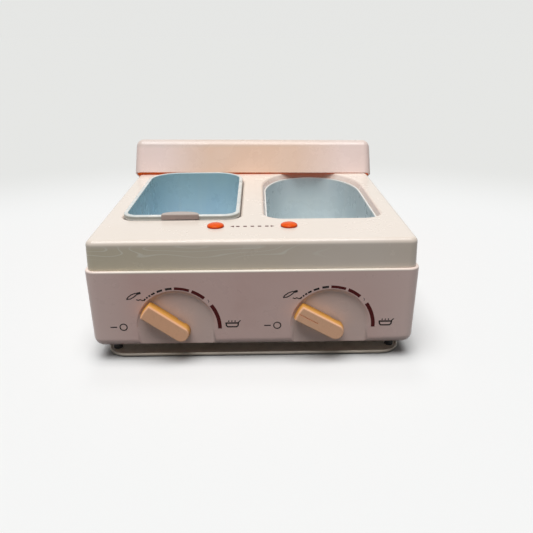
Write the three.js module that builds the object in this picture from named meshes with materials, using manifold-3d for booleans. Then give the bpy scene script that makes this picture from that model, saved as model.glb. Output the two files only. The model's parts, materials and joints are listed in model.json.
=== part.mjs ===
// Double wax heater: a plastic housing with two heated wells, a lift-out wax tank, two dial
// thermostats and a loose lid that leans on the back of the housing.
// Millimetres, +Z up, +Y away from the dials. The table is at z = 0, the front of the lower
// housing is at y = 0 until the last line, which centres the whole object on the origin.

import * as THREE from "three";
import { mergeVertices } from "three/addons/utils/BufferGeometryUtils.js";
import Module from "manifold-3d";

const wasm = await Module();
wasm.setup();

// Driving dimensions
const housingWidth = 333;
const housingDepth = 325;
const deckTop = 131;
const ledgeTop = 102.25;
const housingBottom = 16;
const ledgeWidth = 3;
const housingCorner = 12;
const housingWall = 2.6;
const coverWall = 2.5;
const draftAngle = THREE.MathUtils.degToRad(1.3);
const coverEdge = 5.6;
const bottomEdge = 10;

// Clearances
const seatGap = 0.3;
const overrun = 2;

// Wells and their openings in the deck
const wellSideMargin = 26.4;
const wellBridge = 29.8;
const wellWidth = (housingWidth - 2 * wellSideMargin - wellBridge) / 2;
const wellCentre = (wellBridge + wellWidth) / 2;
const tankWellFront = 75.8;
const tankWellBackMargin = 34.75;
const tankWellBack = housingDepth - tankWellBackMargin;
const tankWellCorner = 16;
const tankWellBackCorner = 39;
const ovalWellFront = 78.5;
const ovalWellBackMargin = 18;
const ovalWellBack = housingDepth - ovalWellBackMargin;
const ovalWellCorner = 20;
const ovalWellBulge = 85;
const collarDepth = 7;
const collarSpread = 5.5;
const collarLip = 3;
const collarWall = 2.2;
const collarStart = THREE.MathUtils.degToRad(30);
const wellFloor = 48;
const wellWall = 1.5;
const wellRim = 1.5;
const wellFlange = 6;
const wellFloorEdge = 9;

// Heaters
const heaterThickness = 1.5;
const heaterBottom = 62;
const heaterTop = 104;
const insulationThickness = 3.5;
const insulationBottom = 58;
const insulationTop = 112;

// Lift-out tank
const tankLip = 4.3;
const tankRim = 4.7;
const tankRimMargin = 0.95;
const tankRimSkirt = 5.3;
const tankRimWall = 1.4;
const tankWall = 1.5;
const tankFloorEdge = 8;
const tankCorner = 17;
const tankBackCorner = 40;

// Grip on the tank's front rim
const gripWidth = 40;
const gripReach = 9;
const gripThickness = 1.8;
const gripFace = 1.6;
const gripClearance = 0.35;

// Dials, knobs and thermostats
const dialHeight = 38.1;
const dialRadius = 39.3;
const dialMargin = 49.2;
const dialSpacing = housingWidth - 2 * (dialMargin + dialRadius);
const dialDepth = 3;
const dialBevel = 3;
const dialBacking = 2.5;
const knobLift = 0.9;
const knobHeight = 12;
const knobHalfWidth = 9;
const knobReach = 38.5;
const knobFoot = 35.4;
const knobTail = 15;
const knobTaper = 0.9;
const knobBevel = 0.9;
const knobShoulder = 4;
const knobPocket = 8;
const knobPocketDepth = 2.9;
const knobRelief = 9;
const knobReliefHeight = 1.7;
const knobAngles = { left: THREE.MathUtils.degToRad(36), right: THREE.MathUtils.degToRad(29.5) };
const indexWidth = 0.9;
const indexDepth = 0.6;
const indexInner = 15;
const shaftRadius = 3;
const shaftGrip = 5.4;
const bushRadius = 4.8;
const nutAcrossFlats = 12;
const nutThickness = 2.4;
const thermostatWidth = 32;
const thermostatDepth = 28;
const thermostatHeight = 30;
const tagHeight = 6;
const tagWidth = 5;
const tagThickness = 0.8;
const bulbRadius = 2.5;
const bulbLength = 60;
const bulbInset = 38.8;
const bulbY = tankWellFront + bulbInset;
const tagPlaceShare = 0.25;
const capillaryRadius = 1;
const capillaryDip = 4;
const capillaryStraightShare = 0.2;
const capillarySwayShare = 0.125;

// Lamps
const lampSpacing = 76;
const lampY = 47.5;
const lampRadius = 8.75;
const lampSkirt = 0.9;
const lampDome = 2.7;
const lampStem = 5.6;
const lampHolderLength = 20;
const lampHolderRadius = 6.6;

// Lid
const lidSideClearance = 2.2;
const lidEndClearance = 0.4;
const lidWall = 1.8;
const lidHeight = 50;
const lidEdge = 11;
const lidDraft = THREE.MathUtils.degToRad(1.8);
const lidRoll = THREE.MathUtils.degToRad(0.65);
const lidFrontInset = 31.5;
const lidFront = housingDepth - lidFrontInset;

// Bottom plate, pan, spacers, pads and screws
const plateInset = 22;
const plateThickness = 1.5;
const plateShelf = 5;
const slotRows = 2;
const slotsPerRow = 9;
const slotLength = 46;
const slotWidth = 4;
const slotSideInset = 62.5;
const slotPitch = (housingWidth - 2 * slotSideInset) / (slotsPerRow - 1);
const slotEndInset = 97.5;
const slotRowSpacing = housingDepth - 2 * slotEndInset;
const panSideInset = 11;
const panEndInset = 9.5;
const panWidth = housingWidth - 2 * panSideInset;
const panFront = panEndInset;
const panBack = housingDepth - panEndInset;
const panCorner = 11;
const panBottom = 0.8;
const panRimTop = 4.3;
const panFloor = 1.6;
const panRimWall = 2.2;
const panEdge = 1.8;
const panFloorEdge = 0.6;
const spacerSideInset = 9.5;
const spacerX = panWidth / 2 - spacerSideInset;
const spacerFront = 28;
const spacerBack = housingDepth - spacerFront;
const spacerRadius = 4.5;
const padRadius = 8;
const padSideInset = 23.5;
const padX = panWidth / 2 - padSideInset;
const padInset = 24;
const postSideInset = 15;
const postX = housingWidth / 2 - postSideInset;
const postRadius = 4;
const postFront = 46;
const postBack = housingDepth - postFront;
const screwRadius = 1.7;
const screwHole = 2.1;
const screwHeadRadius = 3.4;
const screwHeadHeight = 2.2;
const tieScrewLength = 46;
const plateScrewLength = 9;
const plateScrewSideInset = 48.5;
const plateScrewX = housingWidth / 2 - plateScrewSideInset;
const plateScrewInset = 3;

// Well supports
const supportWidth = 24;
const supportThickness = 1.5;
const supportSpan = 70;
const supportFoot = 14;
const supportBackInset = 135;
const supportY = housingDepth - supportBackInset;

// Mains inlet and terminal block
const inletSideInset = 70.5;
const inletX = inletSideInset - housingWidth / 2;
const inletHeight = 62;
const inletWidth = 27;
const inletTall = 20;
const inletFlange = 4;
const inletFlangeThickness = 2;
const inletLength = 24;
const inletWall = 2;
const inletSocket = 15;
const pinLength = 9;
const pinWidth = 4;
const pinThickness = 2;
const pinPitch = 7;
const blockWidth = 44;
const blockDepth = 15;
const blockHeight = 13;
const blockPitch = 12.5;
const blockSideInset = 96.5;
const blockBackInset = 37;
const blockX = blockSideInset - housingWidth / 2;
const blockY = housingDepth - blockBackInset;

// Facets
const quarter = Math.PI / 2;
const cornerSteps = 6;
const ovalSteps = 18;
const archSteps = 24;
const gripSteps = 12;
const edgeSteps = 4;
const roundSides = 20;
const smallSides = 10;
const hexagonSides = 6;
const capillarySides = 8;
const capillarySteps = 20;
const sharpCornerShare = 0.17;

const plastic = { color: 0xe8c4b4, roughness: 0.32, metalness: 0 };
const finishes = {
  pink: plastic,
  lowerPink: { ...plastic, color: 0xdfbcb0 },
  lidPink: { ...plastic, color: 0xefc8b6 },
  knob: { color: 0xe2a77e, roughness: 0.4, metalness: 0 },
  tank: { color: 0x9ec3d3, roughness: 0.3, metalness: 0.1 },
  pot: { color: 0xb4c4c8, roughness: 0.35, metalness: 0.2 },
  grip: { color: 0xb5a39c, roughness: 0.4, metalness: 0 },
  lamp: { color: 0xec6a24, roughness: 0.15, metalness: 0 },
  steel: { color: 0xb9bcc0, roughness: 0.4, metalness: 1 },
  heater: { color: 0x8d6a4a, roughness: 0.6, metalness: 0.2 },
  wool: { color: 0xe7e2d6, roughness: 0.95, metalness: 0 },
  black: { color: 0x1b1b1c, roughness: 0.6, metalness: 0 },
  brass: { color: 0xb9974e, roughness: 0.35, metalness: 1 },
  cream: { color: 0xd9d0bd, roughness: 0.5, metalness: 0 },
};

const model = new THREE.Group();

function add(name, finish, geometry, parent = model) {
  const mesh = new THREE.Mesh(geometry, new THREE.MeshStandardMaterial(finishes[finish]));
  mesh.name = name;
  parent.add(mesh);
  return mesh;
}

// Joining and cutting
function toSolid(geometry) {
  const bare = geometry.clone();
  bare.deleteAttribute("normal");
  bare.deleteAttribute("uv");
  const merged = mergeVertices(bare);
  const vertProperties = new Float32Array(merged.attributes.position.array);
  const triVerts = new Uint32Array(merged.index.array);
  return new wasm.Manifold(new wasm.Mesh({ numProp: 3, vertProperties, triVerts }));
}

function toGeometry(solid) {
  const { vertProperties, triVerts } = solid.getMesh();
  const geometry = new THREE.BufferGeometry();
  geometry.setAttribute("position", new THREE.BufferAttribute(new Float32Array(vertProperties), 3));
  geometry.setIndex(new THREE.BufferAttribute(new Uint32Array(triVerts), 1));
  return geometry;
}

const join = (first, ...others) => others.reduce((whole, each) => whole.add(each), first);
const cut = (first, ...others) => others.reduce((whole, each) => whole.subtract(each), first);

// Outlines are closed, convex and counterclockwise, and an inset draws them in on every side.
function arcPoints(x, y, radiusX, radiusY, start, sweep, steps) {
  return Array.from({ length: steps + 1 }, (_, i) => {
    const angle = start + (sweep * i) / steps;
    return new THREE.Vector2(x + radiusX * Math.cos(angle), y + radiusY * Math.sin(angle));
  });
}

const rectangle = ({ left, right, front, back, corner, backCorner = corner }) => (inset) => {
  const r = Math.max(corner - inset, corner * sharpCornerShare);
  const s = Math.max(backCorner - inset, backCorner * sharpCornerShare);
  return [
    [right - inset - r, front + inset + r, r, -quarter],
    [right - inset - s, back - inset - s, s, 0],
    [left + inset + s, back - inset - s, s, quarter],
    [left + inset + r, front + inset + r, r, Math.PI],
  ].flatMap(([x, y, radius, start]) => arcPoints(x, y, radius, radius, start, quarter, cornerSteps));
};

const ovalEnded = ({ left, right, front, back, corner, bulge }) => (inset) => {
  const r = Math.max(corner - inset, corner * sharpCornerShare);
  const middle = (left + right) / 2;
  const halfWidth = (right - left) / 2 - inset;
  return [
    ...arcPoints(right - inset - r, front + inset + r, r, r, -quarter, quarter, cornerSteps),
    ...arcPoints(middle, back - bulge, halfWidth, bulge - inset, 0, Math.PI, ovalSteps),
    ...arcPoints(left + inset + r, front + inset + r, r, r, Math.PI, quarter, cornerSteps),
  ];
};

const arch = (radius, below) => (inset) => [
  new THREE.Vector2(-(radius - inset), -below),
  new THREE.Vector2(radius - inset, -below),
  ...arcPoints(0, 0, radius - inset, radius - inset, 0, Math.PI, archSteps),
];

// A solid through the rings that an outline makes at each station, an [inset, height] pair.
function loft(outline, stations) {
  const rings = stations.map(([inset, z]) => outline(inset).map((p) => [p.x, p.y, z]));
  const count = rings[0].length;
  const positions = rings.flat(2);
  const index = [];
  for (let ring = 0; ring < rings.length - 1; ring += 1) {
    for (let i = 0; i < count; i += 1) {
      const a = ring * count + i;
      const b = ring * count + ((i + 1) % count);
      index.push(a, b, b + count, a, b + count, a + count);
    }
  }
  const capCentre = (ring) => {
    const middle = ring[0].map((_, axis) => ring.reduce((sum, p) => sum + p[axis], 0) / count);
    positions.push(...middle);
    return positions.length / 3 - 1;
  };
  const bottomCentre = capCentre(rings[0]);
  const topCentre = capCentre(rings[rings.length - 1]);
  const topStart = (rings.length - 1) * count;
  for (let i = 0; i < count; i += 1) {
    const next = (i + 1) % count;
    index.push(bottomCentre, next, i, topCentre, topStart + i, topStart + next);
  }
  const geometry = new THREE.BufferGeometry();
  geometry.setAttribute("position", new THREE.Float32BufferAttribute(positions, 3));
  geometry.setIndex(index);
  return geometry;
}

const quarterTurn = Array.from({ length: edgeSteps + 1 }, (_, i) => (quarter * i) / edgeSteps);

// Stations of a wall from bottom to top, with rounded edges and a lean that depends on height.
function wallStations({ bottom, top, bottomRadius, topRadius, inset = 0, lean = () => 0 }) {
  const low = bottomRadius
    ? quarterTurn.map((a) => [bottomRadius * (1 - Math.sin(a)), bottom + bottomRadius * (1 - Math.cos(a))])
    : [[0, bottom]];
  const high = topRadius
    ? quarterTurn.map((a) => [topRadius * (1 - Math.cos(a)), top - topRadius * (1 - Math.sin(a))])
    : [[0, top]];
  return [...low, ...high].map(([edge, z]) => [edge + inset + lean(z), z]);
}

// Simple solids
function post(radius, bottom, top, x, y, sides = roundSides) {
  return new THREE.CylinderGeometry(radius, radius, top - bottom, sides)
    .rotateX(quarter)
    .translate(x, y, (bottom + top) / 2);
}

function rod(radius, front, back, x, z, sides = roundSides) {
  return new THREE.CylinderGeometry(radius, radius, back - front, sides)
    .translate(x, (front + back) / 2, z);
}

function block(x0, x1, y0, y1, z0, z1) {
  return new THREE.BoxGeometry(x1 - x0, y1 - y0, z1 - z0)
    .translate((x0 + x1) / 2, (y0 + y1) / 2, (z0 + z1) / 2);
}

const sides = [
  { side: "left", sign: -1 },
  { side: "right", sign: 1 },
];
const ends = [
  { end: "front", spacerY: spacerFront, postY: postFront },
  { end: "back", spacerY: spacerBack, postY: postBack },
];

// Places that several pieces share
const half = housingWidth / 2;
const coverOutline = rectangle({
  left: -half + ledgeWidth,
  right: half - ledgeWidth,
  front: ledgeWidth,
  back: housingDepth - ledgeWidth,
  corner: housingCorner - ledgeWidth,
});
const housingOutline = rectangle({
  left: -half,
  right: half,
  front: 0,
  back: housingDepth,
  corner: housingCorner,
});
const tankOutline = rectangle({
  left: -wellCentre - wellWidth / 2,
  right: -wellCentre + wellWidth / 2,
  front: tankWellFront,
  back: tankWellBack,
  corner: tankWellCorner,
  backCorner: tankWellBackCorner,
});
const ovalOutline = ovalEnded({
  left: wellCentre - wellWidth / 2,
  right: wellCentre + wellWidth / 2,
  front: ovalWellFront,
  back: ovalWellBack,
  corner: ovalWellCorner,
  bulge: ovalWellBulge,
});
const wellOutlines = { left: tankOutline, right: ovalOutline };
const collarBottom = deckTop - collarDepth;
const coverBottom = ledgeTop + seatGap;
const lowerLean = (z) => (ledgeTop - z) * Math.tan(draftAngle);
const upperLean = (z) => Math.max(z - ledgeTop, 0) * Math.tan(draftAngle);
const dialFace = lowerLean(dialHeight);
const dialFloor = dialFace + dialDepth;
const dialBack = dialFloor + dialBacking;
const shelfTop = housingBottom + plateShelf;
const plateBottom = housingBottom;
const plateTop = plateBottom + plateThickness;
const dialX = { left: -dialSpacing / 2, right: dialSpacing / 2 };

// Upper housing: the deck, its two funnel collars and four posts that take the tie screws
function upperHousing() {
  const outside = toSolid(loft(coverOutline, wallStations({
    bottom: coverBottom,
    top: deckTop,
    topRadius: coverEdge,
    lean: upperLean,
  })));
  const inside = toSolid(loft(coverOutline, wallStations({
    bottom: coverBottom - overrun,
    top: deckTop - coverWall,
    topRadius: coverEdge - coverWall,
    inset: coverWall,
    lean: upperLean,
  })));
  const collars = sides.map(({ side }) => toSolid(loft(wellOutlines[side], [
    [-collarWall, collarBottom],
    [-collarWall - collarSpread + collarLip / 2, deckTop - coverWall / 2],
  ])));
  const posts = sides.flatMap(({ sign }) => ends.map(({ postY }) =>
    toSolid(post(postRadius, shelfTop + seatGap, deckTop - coverWall / 2, sign * postX, postY, smallSides))));
  const mouths = sides.map(({ side }) => toSolid(loft(wellOutlines[side], [
    [0, collarBottom - overrun],
    [0, collarBottom],
    ...quarterTurn.map((a) => collarStart + (a * (quarter - collarStart)) / quarter).map((a) => [
      -collarSpread + collarLip * Math.cos(a),
      deckTop - collarLip + collarLip * Math.sin(a),
    ]),
    [-collarSpread, deckTop + overrun],
  ])));
  const lampHoles = sides.map(({ sign }) => toSolid(post(
    lampStem + seatGap, deckTop - coverWall - overrun, deckTop + overrun, (sign * lampSpacing) / 2, lampY)));
  const screwHoles = sides.flatMap(({ sign }) => ends.map(({ postY }) => toSolid(post(
    screwHole, shelfTop - overrun, housingBottom + tieScrewLength + overrun, sign * postX, postY, smallSides))));
  return toGeometry(cut(join(cut(outside, inside), ...collars, ...posts), ...mouths, ...lampHoles, ...screwHoles));
}

// Lower housing: a drafted skirt with an inward ledge above, a shelf below and two dial recesses
function lowerHousing() {
  const outside = toSolid(loft(housingOutline, wallStations({
    bottom: housingBottom,
    top: ledgeTop,
    bottomRadius: bottomEdge,
    lean: lowerLean,
  })));
  const inside = toSolid(loft(housingOutline, wallStations({
    bottom: shelfTop,
    top: ledgeTop - housingWall,
    bottomRadius: bottomEdge - housingWall,
    inset: housingWall,
    lean: lowerLean,
  })));
  const ledgeInset = ledgeWidth + coverWall + housingWall;
  const topOpening = toSolid(loft(housingOutline, [
    [ledgeInset, ledgeTop - housingWall - overrun],
    [ledgeInset, ledgeTop + overrun],
  ]));
  const bottomOpening = toSolid(loft(housingOutline, [
    [plateInset + plateShelf, housingBottom - overrun],
    [plateInset + plateShelf, shelfTop + overrun],
  ]));
  const rebate = toSolid(loft(housingOutline, [
    [plateInset, housingBottom - overrun],
    [plateInset, plateTop + seatGap],
  ]));
  const below = dialHeight - housingBottom + overrun;
  const archAt = (x, stations, radius) => toSolid(
    loft(arch(radius, below), stations).rotateX(quarter).translate(x, dialFace, dialHeight));
  const backings = sides.map(({ side }) => archAt(
    dialX[side], [[0, -dialDepth - dialBacking], [0, overrun]], dialRadius + dialBacking));
  const recesses = sides.map(({ side }) => archAt(
    dialX[side], [[dialBevel, -dialDepth], [0, 0], [-dialBevel, dialDepth]], dialRadius));
  const bushHoles = sides.map(({ side }) => toSolid(rod(
    bushRadius + seatGap, dialFloor - overrun, dialBack + overrun, dialX[side], dialHeight)));
  const tieHoles = sides.flatMap(({ sign }) => ends.map(({ postY }) => toSolid(post(
    screwHole, housingBottom - overrun, shelfTop + overrun, sign * postX, postY, smallSides))));
  const plateHoles = plateScrewPlaces.map(({ x, y }) => toSolid(post(
    screwHole, housingBottom - overrun, shelfTop + overrun, x, y, smallSides)));
  const inletHole = toSolid(block(
    inletX - inletWidth / 2 - seatGap, inletX + inletWidth / 2 + seatGap,
    housingDepth - inletLength, housingDepth + overrun,
    inletHeight - inletTall / 2 - seatGap, inletHeight + inletTall / 2 + seatGap));
  const hollow = cut(inside, ...backings);
  return toGeometry(cut(
    outside, hollow, topOpening, bottomOpening, rebate,
    ...recesses, ...bushHoles, ...tieHoles, ...plateHoles, inletHole));
}

// Bottom plate with two rows of air slots
const plateScrewPlaces = sides.flatMap(({ side, sign }) => [
  { name: `plate_screw_front_${side}`, x: sign * plateScrewX, y: plateInset + plateScrewInset },
  { name: `plate_screw_back_${side}`, x: sign * plateScrewX, y: housingDepth - plateInset - plateScrewInset },
]);

function roundSlot(x, y, length, width, bottom, top) {
  const outline = (inset) => [
    ...arcPoints(x, y + (length - width) / 2, width / 2 - inset, width / 2 - inset, 0, Math.PI, edgeSteps),
    ...arcPoints(x, y - (length - width) / 2, width / 2 - inset, width / 2 - inset, Math.PI, Math.PI, edgeSteps),
  ];
  return loft(outline, [[0, bottom], [0, top]]);
}

function bottomPlate() {
  const sheet = toSolid(loft(housingOutline, [[plateInset + seatGap, plateBottom], [plateInset + seatGap, plateTop]]));
  const slots = Array.from({ length: slotRows * slotsPerRow }, (_, i) => {
    const column = (i % slotsPerRow) - (slotsPerRow - 1) / 2;
    const row = Math.floor(i / slotsPerRow) - (slotRows - 1) / 2;
    return toSolid(roundSlot(
      column * slotPitch, housingDepth / 2 + row * slotRowSpacing,
      slotLength, slotWidth, plateBottom - overrun, plateTop + overrun));
  });
  const holes = plateScrewPlaces.map(({ x, y }) => toSolid(post(
    screwHole, plateBottom - overrun, plateTop + overrun, x, y, smallSides)));
  return toGeometry(cut(sheet, ...slots, ...holes));
}

// Base pan: a shallow tray under the housing
function basePan() {
  const outline = rectangle({
    left: -panWidth / 2,
    right: panWidth / 2,
    front: panFront,
    back: panBack,
    corner: panCorner,
  });
  const outside = toSolid(loft(outline, wallStations({
    bottom: panBottom,
    top: panRimTop,
    bottomRadius: panEdge,
    topRadius: panRimWall / 2,
  })));
  const inside = toSolid(loft(outline, [
    [panRimWall + panFloorEdge, panBottom + panFloor],
    [panRimWall, panRimTop - panRimWall / 2],
    [panRimWall / 2, panRimTop],
    [panRimWall / 2, panRimTop + overrun],
  ]));
  return toGeometry(cut(outside, inside));
}

// A screw that points up, with a domed head whose top seats below a face
function screw(x, y, seat, length) {
  const underside = seat - seatGap;
  const outline = [
    new THREE.Vector2(0, underside - screwHeadHeight),
    ...quarterTurn.slice(1).map((a) => new THREE.Vector2(
      screwHeadRadius * Math.sin(a), underside - screwHeadHeight * Math.cos(a))),
    new THREE.Vector2(screwRadius, underside),
    new THREE.Vector2(screwRadius, seat + length),
    new THREE.Vector2(0, seat + length),
  ];
  return new THREE.LatheGeometry(outline, smallSides).rotateX(quarter).translate(x, y, 0);
}

// Well: a drawn tub with a flange that seats under its collar
const wellTop = collarBottom - seatGap;
const wellLean = (z) => ((wellTop - z) / (wellTop - wellFloor)) * wellRim;

function wellShape(outline, inset, bottom, top, bottomRadius) {
  return toSolid(loft(outline, wallStations({ bottom, top, bottomRadius, inset, lean: wellLean })));
}

function well(outline) {
  const tub = wellShape(outline, wellRim - wellWall, wellFloor - wellWall, wellTop, wellFloorEdge + wellWall);
  const flange = toSolid(loft(outline, [[-wellFlange, wellTop - wellWall], [-wellFlange, wellTop]]));
  const lip = wellRim / 2;
  const inside = toSolid(loft(outline, [
    ...wallStations({
      bottom: wellFloor, top: wellTop - lip, bottomRadius: wellFloorEdge, inset: wellRim, lean: wellLean,
    }),
    [wellRim - lip, wellTop],
    [wellRim - lip, wellTop + overrun],
  ]));
  return toGeometry(cut(join(tub, flange), inside));
}

// A sleeve round a well, drawn from the well's own walls
function sleeve(outline, gap, thickness, bottom, top) {
  const inner = wellRim - wellWall - gap;
  const outside = wellShape(outline, inner - thickness, bottom, top);
  const inside = toSolid(loft(outline, [
    [inner + wellLean(bottom - overrun), bottom - overrun],
    [inner + wellLean(top + overrun), top + overrun],
  ]));
  return toGeometry(cut(outside, inside));
}

// Lift-out tank with a turned-down rim
const tankRimOutline = rectangle({
  left: -wellCentre - wellWidth / 2 - tankRimMargin,
  right: -wellCentre + wellWidth / 2 + tankRimMargin,
  front: tankWellFront - tankRimMargin,
  back: tankWellBack + tankRimMargin,
  corner: tankCorner,
  backCorner: tankBackCorner,
});
const tankTop = deckTop + tankLip;
const tankFloor = wellFloor + seatGap;
const tankLean = (z) => ((tankTop - z) / (tankTop - tankFloor)) * wellRim;

function waxTank() {
  const skirtBottom = tankTop - tankRimSkirt;
  const body = toSolid(loft(tankRimOutline, wallStations({
    bottom: tankFloor,
    top: tankTop - tankRimWall,
    bottomRadius: tankFloorEdge + tankWall,
    inset: tankRim - tankWall,
    lean: tankLean,
  })));
  const rim = toSolid(loft(tankRimOutline, wallStations({
    bottom: skirtBottom,
    top: tankTop,
    topRadius: tankRimWall,
  })));
  const channel = cut(
    toSolid(loft(tankRimOutline, [
      [tankRimWall, skirtBottom - overrun],
      [tankRimWall, tankTop - tankRimWall],
    ])),
    toSolid(loft(tankRimOutline, [
      [tankRim - tankWall, skirtBottom - overrun],
      [tankRim - tankWall, tankTop],
    ])));
  const inside = toSolid(loft(tankRimOutline, [
    ...wallStations({
      bottom: tankFloor + tankWall,
      top: tankTop - tankRimWall,
      bottomRadius: tankFloorEdge,
      inset: tankRim,
      lean: tankLean,
    }),
    [tankRim - tankRimWall / 2, tankTop],
    [tankRim - tankRimWall / 2, tankTop + overrun],
  ]));
  const notch = toSolid(block(
    gripLeft - gripClearance, gripRight + gripClearance,
    tankRimFront - overrun, tankRimFront + tankRimWall,
    skirtBottom - overrun, tankTop - tankRimWall));
  return toGeometry(cut(join(body, rim), channel, inside, notch));
}

// Grip: a front face in the rim's notch and an arched thumb plate over the rim
const tankRimFront = tankWellFront - tankRimMargin;
const gripLeft = -wellCentre - gripWidth / 2;
const gripRight = -wellCentre + gripWidth / 2;

function tankGrip() {
  const plateLow = tankTop + gripClearance;
  const faceFront = tankRimFront - gripFace - gripClearance;
  const tongue = (inset) => [
    new THREE.Vector2(gripLeft + inset, faceFront + inset),
    new THREE.Vector2(gripRight - inset, faceFront + inset),
    ...arcPoints(
      -wellCentre, tankRimFront, gripWidth / 2 - inset, gripReach - inset, 0, Math.PI, gripSteps),
  ];
  const plate = toSolid(loft(tongue, [
    [0, plateLow],
    [0, plateLow + gripThickness / 2],
    [gripThickness / 2, plateLow + gripThickness],
  ]));
  const face = toSolid(block(
    gripLeft, gripRight, faceFront, faceFront + gripFace,
    deckTop + gripClearance, plateLow + gripThickness / 2));
  return toGeometry(join(face, plate));
}

// Knob: a bar that narrows to its face, drawn lying on its back and then turned to the front
const knobOutline = (foot) => (inset) => {
  const reach = knobReach - foot - inset;
  const halfWidth = knobHalfWidth - inset;
  const swing = Math.asin(halfWidth / reach);
  return [
    ...arcPoints(0, 0, reach, reach, Math.PI - swing, 2 * swing, cornerSteps),
    ...arcPoints(knobTail - knobHalfWidth, 0, halfWidth, halfWidth, -quarter, Math.PI, gripSteps),
  ];
};

function knob(angle, indexed) {
  const shape = knobOutline(0);
  const faceInset = knobTaper + knobBevel;
  const bar = toSolid(loft(shape, [
    [0, knobShoulder],
    [knobTaper, knobHeight - knobBevel],
    [faceInset, knobHeight],
  ]));
  const foot = toSolid(loft(knobOutline(knobReach - knobFoot), [[0, knobLift], [0, knobShoulder + seatGap]]));
  const slope = toSolid(loft(knobOutline(knobReach - knobFoot), [
    [0, knobLift],
    [knobFoot - knobReach, knobShoulder],
  ])).intersect(toSolid(loft(shape, [[0, 0], [0, knobHeight]])));
  const pocket = toSolid(post(knobPocket, -overrun, knobLift + knobPocketDepth, 0, 0));
  const bore = toSolid(post(
    shaftRadius + seatGap, 0, knobLift + knobPocketDepth + shaftGrip, 0, 0, smallSides));
  const relief = toSolid(block(
    -knobRelief / 2, knobRelief / 2, -knobHalfWidth - overrun, knobHalfWidth + overrun,
    0, knobLift + knobReliefHeight));
  const index = toSolid(block(
    -knobReach - overrun, -indexInner, -indexWidth / 2, indexWidth / 2,
    knobHeight - indexDepth, knobHeight + overrun));
  const whole = cut(join(bar, foot, slope), pocket, bore, relief, ...(indexed ? [index] : []));
  return toGeometry(whole).rotateZ(-angle).rotateX(quarter);
}

// Thermostat: a case with a hollow bush through the front wall and two tags
function thermostat(x) {
  const front = dialBack + seatGap;
  const back = front + thermostatDepth;
  const bushFront = dialFloor - seatGap - nutThickness - seatGap;
  const boreEnd = front + thermostatDepth / 2;
  const body = toSolid(block(
    x - thermostatWidth / 2, x + thermostatWidth / 2, front, back,
    dialHeight - thermostatHeight / 2, dialHeight + thermostatHeight / 2));
  const bush = toSolid(rod(bushRadius, bushFront, front + overrun, x, dialHeight));
  const bore = toSolid(rod(shaftRadius + seatGap, bushFront - overrun, boreEnd, x, dialHeight, smallSides));
  const tags = sides.map(({ sign }) => {
    const middle = x + sign * thermostatWidth * tagPlaceShare;
    const top = dialHeight + thermostatHeight / 2;
    const depth = front + thermostatDepth / 2;
    return toSolid(block(
      middle - tagWidth / 2, middle + tagWidth / 2,
      depth - tagThickness / 2, depth + tagThickness / 2, top - tagHeight / 2, top + tagHeight));
  });
  return toGeometry(cut(join(body, bush, ...tags), bore));
}

function nut(x) {
  const back = dialFloor - seatGap;
  const corner = nutAcrossFlats / 2 / Math.cos(Math.PI / 6);
  const hexagon = toSolid(rod(corner, back - nutThickness, back, x, dialHeight, hexagonSides));
  const hole = toSolid(rod(bushRadius + seatGap, back - nutThickness - overrun, back + overrun, x, dialHeight));
  return toGeometry(cut(hexagon, hole));
}

function shaft(x) {
  const tip = dialFloor - knobLift - knobPocketDepth - shaftGrip + seatGap;
  const boreEnd = dialBack + seatGap + thermostatDepth / 2;
  return rod(shaftRadius, tip, boreEnd - seatGap, x, dialHeight, smallSides);
}

// Capillary tube from the thermostat's back to the sensor bulb under the well
const bulbHeight = wellFloor - wellWall - seatGap - bulbRadius;

function capillary(x) {
  const start = dialBack + seatGap + thermostatDepth + seatGap;
  const end = bulbY - bulbRadius - seatGap;
  const run = end - start;
  const straight = run * capillaryStraightShare;
  const path = new THREE.CatmullRomCurve3([
    new THREE.Vector3(x, start, dialHeight),
    new THREE.Vector3(x, start + straight, dialHeight),
    new THREE.Vector3(x + run * capillarySwayShare, start + run / 2, dialHeight - capillaryDip),
    new THREE.Vector3(x, end - straight, bulbHeight),
    new THREE.Vector3(x, end, bulbHeight),
  ]);
  const section = new THREE.Shape(arcPoints(
    0, 0, capillaryRadius, capillaryRadius, 0, 2 * Math.PI, capillarySides).slice(1));
  return new THREE.ExtrudeGeometry(section, {
    steps: capillarySteps, extrudePath: path, bevelEnabled: false,
  });
}

function sensorBulb(x) {
  return new THREE.CylinderGeometry(bulbRadius, bulbRadius, bulbLength, smallSides)
    .rotateZ(quarter)
    .translate(x, bulbY, bulbHeight);
}

// Lamp: a domed lens with a stem through the deck, and its holder below
function lampLens(x) {
  const seat = deckTop + seatGap;
  const bottom = deckTop - coverWall - lampStem / 2;
  const profile = [
    new THREE.Vector2(0, bottom),
    new THREE.Vector2(lampStem, bottom),
    new THREE.Vector2(lampStem, seat),
    new THREE.Vector2(lampRadius, seat),
    ...quarterTurn.map((a) => new THREE.Vector2(
      lampRadius * Math.cos(a), seat + lampSkirt + lampDome * Math.sin(a))),
  ];
  profile[profile.length - 1].x = 0;
  return new THREE.LatheGeometry(profile, roundSides).rotateX(quarter).translate(x, lampY, 0);
}

function lampHolder(x) {
  const top = deckTop - coverWall - lampStem / 2 - seatGap;
  const bottom = top - lampHolderLength;
  const cup = toSolid(post(lampHolderRadius, bottom, top, x, lampY));
  const tags = sides.map(({ sign }) => {
    const middle = x + (sign * lampHolderRadius) / 2;
    return toSolid(block(
      middle - tagThickness / 2, middle + tagThickness / 2,
      lampY - tagWidth / 2, lampY + tagWidth / 2, bottom - tagHeight, bottom + tagHeight / 2));
  });
  return toGeometry(join(cup, ...tags));
}

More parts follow.
